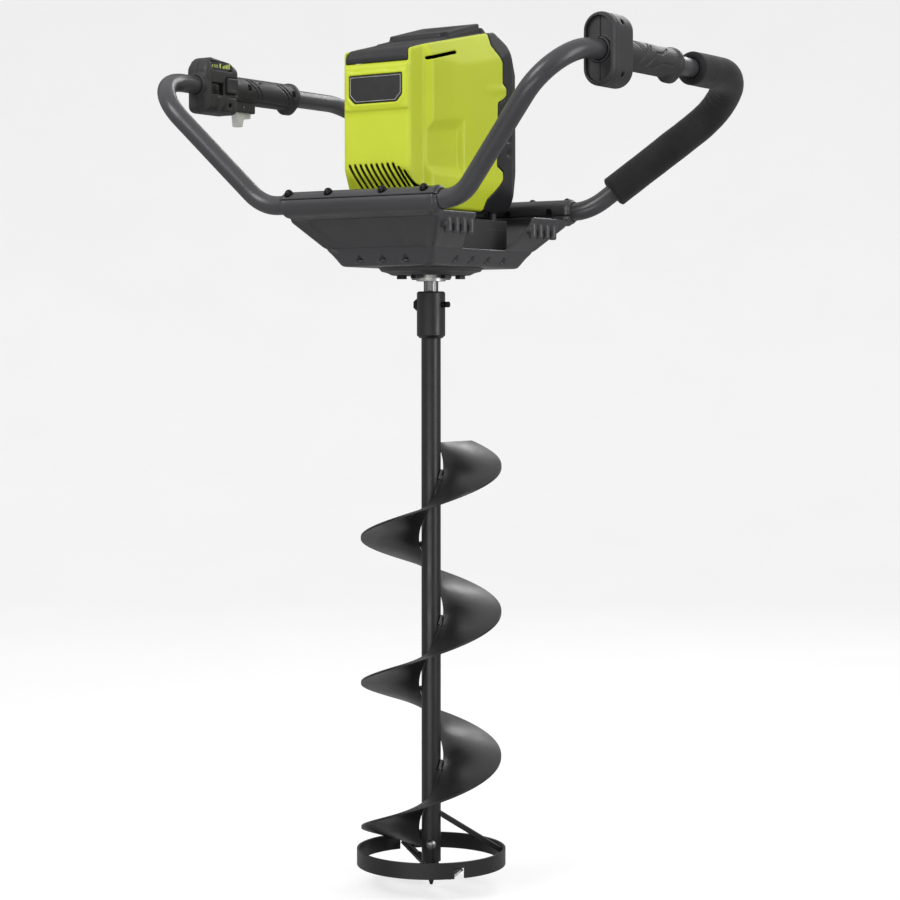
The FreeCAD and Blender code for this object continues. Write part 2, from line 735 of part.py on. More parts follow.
def clamp_half(side):
    """The half-space above and inside the tube, where the separate clamp strip sits."""
    big = 60.0
    half = block((-400, 400), (-big, big), (0, big))
    half.rotate(VEC(0, 0, 0), X_DIR, side * 22)
    half.translate(VEC(0, side * RIM_Y, RIM_Z))
    return half


def tube_channel(side, radius):
    return cylinder(radius, 800, VEC(-400, side * RIM_Y, RIM_Z), X_DIR)


def wall_panels():
    """Shallow trapezoid panels pressed into the long sloping walls."""
    cutters = []
    slope = VEC(0, WALL_MID_HALF[1] - BAND_HALF[1], WALL_MID - BAND_TOP)
    normal = VEC(0, slope.z, -slope.y).normalize()
    depth = 1.6
    low = 0.08
    high = 0.92
    foot_half = 62.0
    head_half = 92.0
    for side in (-1, 1):
        foot = VEC(0, BAND_HALF[1], BAND_TOP)
        corners = [foot + slope * low + VEC(-foot_half, 0, 0), foot + slope * low + VEC(foot_half, 0, 0),
                   foot + slope * high + VEC(head_half, 0, 0), foot + slope * high + VEC(-head_half, 0, 0)]
        corners = [VEC(c.x, side * c.y, c.z) for c in corners]
        out = VEC(0, side * normal.y, normal.z)
        shifted = [c - out * depth for c in corners]
        cutters.append(prism(shifted, out * (depth + 5)))
    return cutters


def band_notches():
    """Small triangular nicks along the band's ends and round dimples along its sides."""
    cutters = []
    middle = (TRAY_BOTTOM + BAND_TOP) / 2
    face = (FLOOR_HALF[0] + BAND_HALF[0]) / 2
    pitch = 38.0
    for side in (-1, 1):
        for k in range(4):
            y = (k - 1.5) * pitch
            inner = side * (face - 2.2)
            nick = [VEC(inner, y - 7, middle - 6), VEC(inner, y + 7, middle - 6), VEC(inner, y, middle + 6)]
            cutters.append(prism(nick, X_DIR * (12 * side)))
        for k in (-1, 0, 1):
            cutters.append(Part.makeSphere(6.0, VEC(k * pitch, side * (FLOOR_HALF[1] + 8.0), middle - 2)))
    return cutters


def end_flutes():
    """Upright ribs on the outside of both ends, beside the U-shaped openings."""
    rib_r = 5.5
    rib_low = WALL_MID - 16.0
    ribs = []
    for side_x in (-1, 1):
        for side_y in (-1, 1):
            for y in FLUTE_Y:
                base = VEC(side_x * (WALL_MID_HALF[0] - 3.0), side_y * y, rib_low)
                ribs.append(cylinder(rib_r, WALL_TOP - rib_low, base))
    return ribs


def support_tray():
    ribbed = tray_solid(0).fuse(end_flutes())
    tray = ribbed.cut(tray_solid(TRAY_WALL))
    for side in (-1, 1):
        low, high = RIM_SPAN[side]
        across = sorted((side * (WALL_TOP_HALF[1] - 6), side * (RIM_Y - 4)))
        web = block((low + 4, min(high, WALL_TOP_HALF[0]) - 1), across, (WALL_TOP - 4, RIM_Z - 6))
        tray = tray.fuse(web)
    tray = tray.cut(end_cutout())
    for side in (-1, 1):
        tray = tray.fuse(rim_shell(side).cut(clamp_half(side)))
        tray = tray.cut(tube_channel(side, TUBE_R + GAP))
        tray = tray.cut(rim_shell(side).common(clamp_half(side)))
    tray = tray.cut(Part.makeCompound(wall_panels()))
    tray = tray.cut(Part.makeCompound(band_notches()))
    tray = tray.cut(cylinder(25.1, 20, VEC(0, 0, 845)))
    for x, y in bolt_circle():
        tray = tray.cut(cylinder(3.0, 20, VEC(x, y, 848)))
    return tray.removeSplitter()


def tube_clamp(side):
    strip = rim_shell(side).common(clamp_half(side)).cut(tube_channel(side, TUBE_R + GAP))
    strip = strip.cut(Part.makeCompound(clamp_holes(side)))
    if side < 0:
        strip = strip.cut(cylinder(4.6, 40, VEC(FRAME_X, -RIM_Y, RIM_Z), Y_DIR))
    return strip


def upper_direction(side):
    """The way the upper clamp screws point: up, and tipped outwards."""
    tilt = math.radians(SCREW_TILT)
    return VEC(0, side * math.sin(tilt), math.cos(tilt))


def clamp_holes(side):
    """Clearance holes for the upper screws of one clamp strip and for those on its inner face."""
    up = upper_direction(side)
    centre = VEC(FRAME_X, side * RIM_Y, RIM_Z)
    upper = [cylinder(SCREW_HOLE_R, 30, centre + X_DIR * x, up) for x in SCREW_X[side]]
    inner = [cylinder(SCREW_HOLE_R, 30, centre + X_DIR * x, Y_DIR * -side) for x in LOCK_X[side]]
    return upper + inner


def clamp_screws():
    """Dome-head screws along the top of each rim and flat ones on its inner face, into the tube wall."""
    head_r = 5.6
    shank_r = SCREW_HOLE_R - 0.1
    screws = []
    for side in (-1, 1):
        up = upper_direction(side)
        for x in SCREW_X[side]:
            seat = VEC(FRAME_X + x, side * RIM_Y, RIM_Z) + up * (RIM_R + 0.1)
            dome = Part.makeSphere(head_r, seat).common(cylinder(head_r + 1, 8, seat, up))
            screws.append(dome.fuse(cylinder(shank_r, 9.0, seat, up * -1)))
        for x in LOCK_X[side]:
            seat = VEC(FRAME_X + x, side * (RIM_Y - RIM_R), RIM_Z)
            screws.append(headed_bolt(seat, Y_DIR * -side, 4.4, 2.4, shank_r, 7.5))
    return screws


def loop_corners(side):
    """Corners of one handle loop's centre line, from the near rim round to the far rim."""
    inner = FRAME_X + side * 6.0
    lower = FRAME_X + side * LOWER_X
    lower_far = FRAME_X + side * LOWER_FAR_X
    upper = FRAME_X + side * UPPER_X
    return [VEC(inner, -RIM_Y, RIM_Z), VEC(lower, -RIM_Y, RIM_Z), VEC(upper, UPPER_NEAR_Y, BAR_Z),
            VEC(upper, UPPER_FAR_Y, BAR_Z), VEC(lower_far, RIM_Y, RIM_Z), VEC(inner, RIM_Y, RIM_Z)]


def handle_tube(side):
    wire = bent_wire(loop_corners(side), (LOWER_BEND_R, UPPER_BEND_R, UPPER_BEND_R, LOWER_BEND_R))
    tube = pipe(wire, TUBE_R).cut(pipe(wire, TUBE_BORE_R))
    for near in (-1, 1):
        tube = tube.cut(Part.makeCompound(clamp_holes(near)))
    if side < 0:
        cable_slot = (SWITCH_Y[0] + 24, SWITCH_Y[0] + 36)
        tube = tube.cut(block((LEFT_X - 3, LEFT_X + 3), cable_slot, (BAR_Z - 30, BAR_Z)))
        for y, z, seat, length in HANDLE_SCREWS[1:]:
            tube = tube.cut(cylinder(1.6, 12, VEC(LEFT_X + 7, y, BAR_Z + z), X_DIR))
    return tube


def foam_sleeve():
    corners = loop_corners(1)
    arm = corners[4] - corners[3]
    finish = corners[3] + arm * FOAM_SHARE
    wire = bent_wire([VEC(RIGHT_X, FOAM_START, BAR_Z), corners[3], finish], [UPPER_BEND_R])
    return pipe(wire, FOAM_R).cut(pipe(wire, TUBE_R + 0.15))


def control_cable():
    """Signal cable from the switch, through the left tube, to the controller."""
    corners = loop_corners(-1)
    exit_y = -50.0
    inlet = VEC(FRAME_X - 30, -RIM_Y, RIM_Z)
    loop = bent_wire([VEC(LEFT_X, SWITCH_Y[0] + 24, BAR_Z), corners[2], corners[1], inlet],
                     (UPPER_BEND_R, LOWER_BEND_R))
    under = RIM_Z - 9.7
    tail = bent_wire([inlet, VEC(FRAME_X, -RIM_Y, RIM_Z),
                      VEC(FRAME_X, -152, RIM_Z), VEC(FRAME_X, -124, under),
                      VEC(FRAME_X, exit_y, under), VEC(FRAME_X, exit_y - 8, 1000)], (8.0, 8.0, 8.0, 8.0))
    return pipe(Part.Wire(loop.Edges + tail.Edges), 2.6)


# ---------------------------------------------------------------- housing


def house_block(inset):
    """The whole powerhead body: its side outline swept across, with rounded upright corners."""
    reach = HOUSE_X + 20
    points = [VEC(-reach, y, z) for y, z in HOUSE_PROFILE]
    outline = Part.makePolygon(points + [points[0]])
    if inset:
        choices = [outline.makeOffset2D(step, 2) for step in (inset, -inset)]
        outline = min(choices, key=lambda wire: wire.BoundBox.DiagonalLength)
    side = Part.Face(outline).extrude(X_DIR * (2 * reach))
    return side.common(plan_prism(inset)).cut(lower_corner_cut(inset))


def plan_prism(inset):
    """The body's outline seen from above: a narrower nose in front of wider flanks."""
    right = [VEC(x, y, 900) for x, y in HOUSE_PLAN]
    left = [VEC(-x, y, 900) for x, y in reversed(HOUSE_PLAN)]
    outline = Part.makePolygon(right + left + [right[0]])
    if inset:
        choices = [outline.makeOffset2D(step, 2) for step in (inset, -inset)]
        outline = min(choices, key=lambda wire: wire.BoundBox.DiagonalLength)
    plan = Part.Face(outline).extrude(Z_DIR * 350)
    nose = [e for e in plan.Edges if is_vertical(e) and e.Vertexes[0].Point.y < HOUSE_FRONT + inset + 1]
    return plan.makeFillet(NOSE_CORNER_R - inset, nose)


def lower_corner_cut(inset):
    """Bevels along the lower left and right edges of the body."""
    cuts = []
    for side in (-1, 1):
        edge = side * (HOUSE_X - inset)
        points = [VEC(edge + side * 5, -200, 880), VEC(edge - side * 14, -200, 925),
                  VEC(edge + side * 1, -200, 968), VEC(edge + side * 5, -200, 968)]
        cuts.append(prism(points, Y_DIR * 400))
    return Part.makeCompound(cuts)


def top_line(y):
    """Height of the sloping top at a distance y along the body."""
    (y0, z0), (y1, z1) = HOUSE_PROFILE[2], HOUSE_PROFILE[3]
    return z0 + (z1 - z0) / (y1 - y0) * (y - y0)


def slope_slab(half, span, low, high):
    """A slab that follows the sloping top, between two offsets from it."""
    start, finish = span
    points = [VEC(-half, start, top_line(start) + low), VEC(-half, finish, top_line(finish) + low),
              VEC(-half, finish, top_line(finish) + high), VEC(-half, start, top_line(start) + high)]
    return prism(points, X_DIR * (2 * half))


def cover_region(drop, half):
    """The space above the sloping cover line, lowered by drop, between the two shoulders."""
    return slope_slab(half, (HOUSE_FRONT - 40, HOUSE_SPLIT + 90), -drop, 200.0)


def house_skin():
    return house_block(0).cut(house_block(SHELL_WALL))


def front_region():
    return block((-200, 200), (-200, HOUSE_SPLIT), (800, 1400))


def badge_recess():
    slack = 0.3
    return block((BADGE_X[0] - slack, BADGE_X[1] + slack), (HOUSE_FRONT - 1, HOUSE_FRONT + 1.2),
                 (BADGE_Z[0] - slack, BADGE_Z[1] + slack))


def vent_slats():
    """Leaning cooling slots low on the front face."""
    pitch = 9.0
    width = 3.4
    lean = -24.0
    first = -38.0
    low = 956.0
    high = 986.0
    slats = []
    for k in range(SLAT_COUNT):
        x = first + pitch * k
        slat = block((x, x + width), (HOUSE_FRONT - 14, HOUSE_FRONT + 24), (low, high))
        slats.append(spun(slat, lean, VEC(x, 0, (low + high) / 2), Y_DIR))
    return slats


def front_shell():
    shell = house_skin().common(front_region()).cut(cover_region(COVER_DEPTH, COVER_X))
    for x, z in SCREW_BOSSES:
        boss = cylinder(5.0, 30.0, VEC(x, HOUSE_SPLIT - 30, z), Y_DIR)
        shell = shell.fuse(boss.common(house_block(0.5)))
        shell = shell.cut(cylinder(1.6, 26, VEC(x, HOUSE_SPLIT - 25, z), Y_DIR))
    shell = shell.cut(cylinder(MOTOR_R + 2, 20, VEC(0, MOTOR_Y, 920)))
    shell = shell.cut(block((FRAME_X - 6, FRAME_X + 6), (-58, -40), (900, 940)))
    for x, y in HOUSING_POSTS:
        shell = shell.cut(cylinder(2.3, 12, VEC(x, y, HOUSE_BOTTOM - 5)))
    shell = shell.cut(badge_recess()).cut(Part.makeCompound(vent_slats()))
    return largest(shell.removeSplitter())


def largest(shape):
    return max(shape.Solids, key=lambda solid: solid.Volume)


def top_cover():
    """Black cover over the sloping top, with a raised centre that has a hand recess."""
    cover = house_skin().common(cover_region(COVER_DEPTH - 0.15, COVER_X - 0.15)).common(front_region())
    raised = slope_slab(RAISED_X, RAISED_Y, -SHELL_WALL, RAISED_STEP)
    hollow = slope_slab(RAISED_X - SHELL_WALL, (RAISED_Y[0] + SHELL_WALL, RAISED_Y[1] - SHELL_WALL),
                        -2 * SHELL_WALL, RAISED_STEP - SHELL_WALL)
    cover = cover.fuse(raised.cut(hollow)).cut(hollow)
    return largest(cover.removeSplitter())


def rear_region():
    return block((-200, 200), (HOUSE_SPLIT + 0.15, 300), (800, 1400))


def rear_shell():
    """Rear part of the body; the battery bay is a pocket that is open to the rear."""
    bay_wall = 3.0
    body = house_block(0).common(rear_region())
    grown = block((-BAY_X - bay_wall, BAY_X + bay_wall), (BAY_Y - bay_wall, 300),
                  (BAY_Z[0] - bay_wall, BAY_Z[1] + bay_wall))
    body = body.cut(house_block(SHELL_WALL).cut(grown))
    body = body.cut(block((-BAY_X, BAY_X), (BAY_Y, 300), BAY_Z))
    for x, z in SCREW_BOSSES:
        post = ring(6.5, 4.2, 70, VEC(x, HOUSE_SPLIT + 7, z), Y_DIR)
        seat = ring(6.5, 1.9, 6, VEC(x, HOUSE_SPLIT + 1, z), Y_DIR)
        body = body.fuse(post.fuse(seat).common(house_block(0)))
        body = body.cut(cylinder(4.2, 80, VEC(x, HOUSE_SPLIT + 7, z), Y_DIR))
    for x, y in HOUSING_POSTS:
        body = body.cut(cylinder(2.3, 12, VEC(x, y, HOUSE_BOTTOM - 5)))
    return largest(body.removeSplitter())


def badge_plate():
    """Blank badge with two clipped lower corners."""
    clip = 8.0
    left, right = BADGE_X
    low, high = BADGE_Z
    y = HOUSE_FRONT + 1.1
    points = [VEC(left, y, high), VEC(right, y, high), VEC(right, y, low + clip), VEC(right - clip, y, low),
              VEC(left + clip, y, low), VEC(left, y, low + clip)]
    return prism(points, Y_DIR * -2.4)


def housing_screws():
    seat_y = HOUSE_SPLIT + 7.1
    seat_z = HOUSE_BOTTOM + 2.6
    rear = [headed_bolt(VEC(x, seat_y, z), Y_DIR, 3.6, 3.0, 1.5, 28.0) for x, z in SCREW_BOSSES]
    base = [headed_bolt(VEC(x, y, seat_z), Z_DIR, 3.6, 3.0, 1.8, 18.0) for x, y in HOUSING_POSTS]
    return rear + base


def controller_board():
    face = -94.0
    parts = [block((-50, 54), (face - 2, face), (1012, 1108))]
    for k in range(3):
        parts.append(cylinder(8.0, 22.0, VEC(-38 + 20 * k, face - 0.5, 1085), Y_DIR))
    for k in range(6):
        parts.append(block((-50 + 17 * k, -40 + 17 * k), (face - 0.5, face + 5), (1030, 1046)))
    parts.append(block((20, 52), (face - 0.5, face + 14), (1066, 1100)))
    return fuse_all(parts)


def battery_pack():
    """Removable pack: it fills the bay and its back follows the body's rear slope."""
    slack = PLAY
    pack = block((-BAY_X + slack, BAY_X - slack), (BAY_Y + slack, BATTERY_REAR),
                 (BAY_Z[0] + slack, BAY_Z[1] - slack))
    rear = [e for e in pack.Edges if is_vertical(e) and e.Vertexes[0].Point.y > BATTERY_REAR - 1]
    pack = pack.makeFillet(9.0, rear)
    pocket_y = (BATTERY_REAR - 27, BATTERY_REAR + 9)
    pack = pack.cut(block(LATCH_POCKET_X, pocket_y, (BAY_Z[1] - 28, BAY_Z[1] + 6)))
    for side in (-1, 1):
        middle = side * (BAY_X - 5)
        groove = block((middle - 3, middle + 3), (BAY_Y, BAY_Y + 30), (BAY_Z[0], BAY_Z[0] + 4))
        pack = pack.cut(groove)
    return pack


def battery_latch():
    body = block((LATCH_POCKET_X[0] + 0.7, LATCH_POCKET_X[1] - 0.7), (BATTERY_REAR - 25, BATTERY_REAR - 3),
                 (BAY_Z[1] - 22, BAY_Z[1] - 8))
    return body.makeFillet(2.0, [e for e in body.Edges if e.Length > 30])


# ---------------------------------------------------------------- left control handle


def grip_body(x, start, finish):
    """A grip along Y with a raised end flange and a finger stop under it."""
    barrel = cylinder(GRIP_R, finish - start, VEC(x, start, BAR_Z), Y_DIR)
    flange = cylinder(GRIP_R + 2.5, 7.0, VEC(x, finish - 7, BAR_Z), Y_DIR)
    stop = cylinder(11.0, 18.0, VEC(x, finish - 18, BAR_Z - GRIP_R + 5), Y_DIR)
    return fuse_all([barrel, flange, stop])


def switch_body():
    low, high = SWITCH_Z
    start, finish = SWITCH_Y
    left = LEFT_X - HUMP_HALF
    across = (LEFT_X - SWITCH_HALF, LEFT_X + SWITCH_HALF)
    main = rounded_block(across, SWITCH_Y, (BAR_Z + low, BAR_Z + high), 8.0)
    hump = [VEC(left, start + 6, BAR_Z + 20), VEC(left, start + 8, BAR_Z + HUMP_TOP - 4),
            VEC(left, start + 14, BAR_Z + HUMP_TOP), VEC(left, finish - 14, BAR_Z + HUMP_TOP - 5),
            VEC(left, finish - 4, BAR_Z + 20)]
    hump = prism(hump, X_DIR * (2 * HUMP_HALF))
    collar = cylinder(17.0, 6.0, VEC(LEFT_X, start - 4, BAR_Z), Y_DIR)
    return fuse_all([main, hump, collar])


def control_handle():
    """Switch body and grip as one closed form, before it is split into two halves."""
    start, finish = SWITCH_Y
    whole = switch_body().fuse(grip_body(LEFT_X, finish - 2, LEFT_GRIP_END))
    whole = whole.cut(cylinder(TUBE_R + GAP, 400, VEC(LEFT_X, -200, BAR_Z), Y_DIR))
    lower = block((LEFT_X - 16, LEFT_X + 16), (start + 6, finish - 6), (BAR_Z - 34, BAR_Z - 14))
    upper = block((LEFT_X - 13, LEFT_X + 13), (start + 12, finish - 16), (BAR_Z + 14.5, BAR_Z + 33))
    slot = block((LEFT_X - 8, LEFT_X + 8), (finish - 8, GUARD_Y[1] - 1), (BAR_Z - 60, BAR_Z - 14))
    outer = LEFT_X + SWITCH_HALF
    whole = whole.cut(Part.makeCompound([lower, upper])).cut(slot)
    whole = whole.cut(block((LEFT_X + HUMP_HALF - 6, outer + 10), DISPLAY_Y, DISPLAY_Z))
    whole = whole.cut(block((LEFT_X + 12, outer + 20), SELECTOR_Y, SELECTOR_Z))
    whole = whole.cut(block((LEFT_X + 12, outer + 20), BUTTON_Y, BUTTON_Z))
    return whole.removeSplitter()


def control_handle_half(side):
    keep = block((LEFT_X, LEFT_X + 100), (-300, 300), (900, 1300))
    if side < 0:
        keep = block((LEFT_X - 100, LEFT_X - 0.1), (-300, 300), (900, 1300))
    half = control_handle().common(keep)
    for y, z, seat, length in HANDLE_SCREWS:
        half = half.cut(cylinder(1.6, length + 1, VEC(LEFT_X + seat - length, y, BAR_Z + z), X_DIR))
        half = half.cut(cylinder(3.2, 30, VEC(LEFT_X + seat, y, BAR_Z + z), X_DIR))
    return half.removeSplitter()


def handle_screws():
    left = []
    for y, z, seat, length in HANDLE_SCREWS:
        left.append(headed_bolt(VEC(LEFT_X + seat + 0.1, y, BAR_Z + z), X_DIR, 3.0, 2.2, 1.5, length))
    seat_x = RIGHT_X + 12.1
    right = [headed_bolt(VEC(seat_x, y, BAR_Z + z), X_DIR, 3.0, 2.2, 1.5, 20.0) for y, z in BOSS_SCREWS]
    return left + right


def display_window():
    slack = 0.2
    outer = LEFT_X + HUMP_HALF
    return block((outer - 2.8, outer - 0.4), (DISPLAY_Y[0] + slack, DISPLAY_Y[1] - slack),
                 (DISPLAY_Z[0] + slack, DISPLAY_Z[1] - slack))


def direction_selector():
    """Small slider in the side slot."""
    start = SELECTOR_Y[0] + 2.0
    outer = LEFT_X + SWITCH_HALF
    height = (SELECTOR_Z[0] + PLAY, SELECTOR_Z[1] - PLAY)
    base = block((LEFT_X + 14.5, outer - 2), (start, start + 15), height)
    nib = block((outer - 2.5, outer + 1.5), (start + 5, start + 11), (SELECTOR_Z[0] + 4, SELECTOR_Z[1] - 4))
    return base.fuse(nib)


def lock_off_button():
    cap = block((LEFT_X + 17.5, LEFT_X + SWITCH_HALF + 4), (BUTTON_Y[0] + PLAY, BUTTON_Y[1] - PLAY),
                (BUTTON_Z[0] + PLAY, BUTTON_Z[1] - PLAY))
    outer = [e for e in cap.Edges if e.BoundBox.XMin > LEFT_X + SWITCH_HALF + 3]
    return cap.makeFillet(1.5, outer)


def trigger_guard():
    """Two dark cheeks under the front of the grip; they carry the trigger's pivot pin."""
    wall = 2.8
    low = BAR_Z - 32.0
    high = BAR_Z - 8.0
    finish = GUARD_Y[1]
    gap_half = GUARD_HALF - wall
    outer = block((LEFT_X - GUARD_HALF, LEFT_X + GUARD_HALF), (GUARD_Y[0] + 0.2, finish), (low, high))
    inner = block((LEFT_X - gap_half, LEFT_X + gap_half), (GUARD_Y[0] - 20, finish - wall),
                  (low - 1, high + 1))
    cheeks = outer.cut(inner).cut(cylinder(GRIP_R + GAP, 200, VEC(LEFT_X, -100, BAR_Z), Y_DIR))
    hole = cylinder(PIVOT_PIN_R + GAP, 3 * GUARD_HALF, TRIGGER_PIVOT - X_DIR * (1.5 * GUARD_HALF), X_DIR)
    return cheeks.cut(hole)


def throttle_trigger():
    """L-shaped lever: a bar that is squeezed upwards and a leg that hangs down at its front."""
    x = LEFT_X - TRIGGER_HALF
    z = BAR_Z
    points = [VEC(x, -30, z - 17), VEC(x, -24, z - 16), VEC(x, -14, z - 20), VEC(x, -12, TRIGGER_BAR_TOP),
              VEC(x, 3, TRIGGER_BAR_TOP), VEC(x, 2, z - 39), VEC(x, -13, z - 40), VEC(x, -16, z - 52),
              VEC(x, -26, z - 52), VEC(x, -28, z - 34)]
    lever = prism(points, X_DIR * (2 * TRIGGER_HALF))
    return lever.cut(cylinder(PIVOT_PIN_R + RUN_GAP, 60, TRIGGER_PIVOT - X_DIR * 30, X_DIR))


def trigger_pin():
    return cylinder(PIVOT_PIN_R, 2 * GUARD_HALF + 1, TRIGGER_PIVOT - X_DIR * (GUARD_HALF + 0.5), X_DIR)


def trigger_spring():
    """Compression spring between the trigger and the tube, as a close tube."""
    low = TRIGGER_BAR_TOP + 0.1
    return ring(3.0, 1.8, SPRING_TOP - low, VEC(LEFT_X, -5.0, low))


def trigger_switch():
    rear = -68.0
    body = block((LEFT_X - 6, LEFT_X + 6), (rear - 20, rear), (BAR_Z - 30, BAR_Z - 15))
    plunger = cylinder(1.5, 36.0, VEC(LEFT_X, rear - 0.2, BAR_Z - 18.5), Y_DIR)
    return body.fuse(plunger)


# ---------------------------------------------------------------- right handle


def right_boss():
    """Oval hand guard round the right bar, rounded at both ends."""
    start, finish = RIGHT_BOSS_Y
    half_width = RIGHT_BOSS_HALF
    low, high = RIGHT_BOSS_Z
    top = cylinder(half_width, finish - start, VEC(RIGHT_X, start, BAR_Z + high - half_width), Y_DIR)
    bottom = cylinder(half_width, finish - start, VEC(RIGHT_X, start, BAR_Z + low + half_width), Y_DIR)
    middle = block((RIGHT_X - half_width, RIGHT_X + half_width), (start, finish),
                   (BAR_Z + low + half_width, BAR_Z + high - half_width))
    oval = fuse_all([top, bottom, middle])
    rims = [e for e in oval.Edges if abs(e.BoundBox.YLength) < 1e-6]
    oval = oval.makeFillet(7.0, rims)
    return oval.cut(cylinder(TUBE_R + GAP, 200, VEC(RIGHT_X, -200, BAR_Z), Y_DIR))


def right_boss_half(side):
    keep = block((RIGHT_X, RIGHT_X + 100), (-300, 300), (900, 1300))
    if side < 0:
        keep = block((RIGHT_X - 100, RIGHT_X - 0.1), (-300, 300), (900, 1300))
    half = right_boss().common(keep)
    for y, z in BOSS_SCREWS:
        half = half.cut(cylinder(1.6, 30, VEC(RIGHT_X - 12, y, BAR_Z + z), X_DIR))
        half = half.cut(cylinder(3.2, 30, VEC(RIGHT_X + 12, y, BAR_Z + z), X_DIR))
    return half


def right_grip():
    grip = grip_body(RIGHT_X, RIGHT_BOSS_Y[1] + 0.3, RIGHT_GRIP_END)
    return grip.cut(cylinder(TUBE_R + GAP, 400, VEC(RIGHT_X, -200, BAR_Z), Y_DIR))


NODES = {
    "auger_shaft": auger_shaft, "auger_flight": auger_flight, "flight_welds": flight_welds,
    "cutting_ring": cutting_ring, "ring_strut": ring_strut, "blade_holders": blade_holders,
    "blades": blades, "blade_screws": blade_screws, "centre_point": centre_point, "point_bolt": point_bolt,
    "coupler_collar": coupler_collar, "coupler_pin": coupler_pin, "output_shaft": output_shaft,
    "output_gear": output_gear, "countershaft": countershaft, "countershaft_gear": countershaft_gear,
    "motor_pinion": motor_pinion, "output_bearings": output_bearings, "small_bearings": small_bearings,
    "bearing_carrier": bearing_carrier, "carrier_bolts": carrier_bolts, "retainer_plate": retainer_plate,
    "shaft_seal": shaft_seal, "gear_case": gear_case, "gear_case_lid": gear_case_lid,
    "gear_case_screws": gear_case_screws, "motor_can": motor_can, "motor_stator": motor_stator,
    "stator_windings": stator_windings, "motor_rotor": motor_rotor, "cooling_fan": cooling_fan,
    "support_tray": support_tray, "tube_clamps": lambda: [tube_clamp(-1), tube_clamp(1)],
    "clamp_screws": clamp_screws, "left_handle_tube": lambda: handle_tube(-1),
    "right_handle_tube": lambda: handle_tube(1), "foam_sleeve": foam_sleeve, "control_cable": control_cable,
    "front_shell": front_shell, "top_cover": top_cover, "rear_shell": rear_shell, "badge_plate": badge_plate,
    "housing_screws": housing_screws, "controller_board": controller_board, "battery_pack": battery_pack,
    "battery_latch": battery_latch, "control_handle_outer": lambda: control_handle_half(-1),
    "control_handle_inner": lambda: control_handle_half(1), "handle_screws": handle_screws,
    "display_window": display_window, "direction_selector": direction_selector,
    "lock_off_button": lock_off_button, "trigger_guard": trigger_guard, "throttle_trigger": throttle_trigger,
    "trigger_pin": trigger_pin, "trigger_spring": trigger_spring, "trigger_switch": trigger_switch,
    "right_guard_outer": lambda: right_boss_half(1), "right_guard_inner": lambda: right_boss_half(-1),
    "right_grip": right_grip,
}


def as_one(made):
    return Part.makeCompound(made) if isinstance(made, list) else made


os.makedirs(OUT, exist_ok=True)
for node, build in NODES.items():
    shape = as_one(build())
    shape.exportStep(os.path.join(OUT, node + ".step"))
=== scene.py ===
# A battery ice auger. Moulded pieces are modelled as signed distance forms in millimetres and meshed;
# tubes, bit, screws and drive are the frame's own nodes with procedural materials.

import json
import math

import bmesh
import bpy
import openvdb
import numpy as np
from mathutils import Matrix, Vector
from mathutils import noise as mnoise


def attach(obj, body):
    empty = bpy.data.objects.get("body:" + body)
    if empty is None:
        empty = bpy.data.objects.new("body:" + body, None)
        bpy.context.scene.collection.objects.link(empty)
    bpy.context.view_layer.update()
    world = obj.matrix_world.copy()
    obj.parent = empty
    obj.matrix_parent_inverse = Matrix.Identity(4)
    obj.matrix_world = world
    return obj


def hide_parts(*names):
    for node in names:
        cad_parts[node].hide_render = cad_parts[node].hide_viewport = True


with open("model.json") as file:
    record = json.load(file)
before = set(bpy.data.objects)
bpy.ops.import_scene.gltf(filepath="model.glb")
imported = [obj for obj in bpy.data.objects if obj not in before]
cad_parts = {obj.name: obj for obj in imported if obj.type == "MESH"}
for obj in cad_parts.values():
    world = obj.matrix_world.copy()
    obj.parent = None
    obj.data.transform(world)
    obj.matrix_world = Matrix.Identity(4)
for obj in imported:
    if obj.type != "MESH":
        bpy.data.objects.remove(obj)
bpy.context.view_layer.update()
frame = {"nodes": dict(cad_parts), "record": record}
NODES = frame["nodes"]
MM = 0.001
MIX_LOW, MIX_HIGH, MIX_RESULT = 6, 7, 2  # colour sockets of Blender's mix node

# ------------------------------------------------------------------ materials


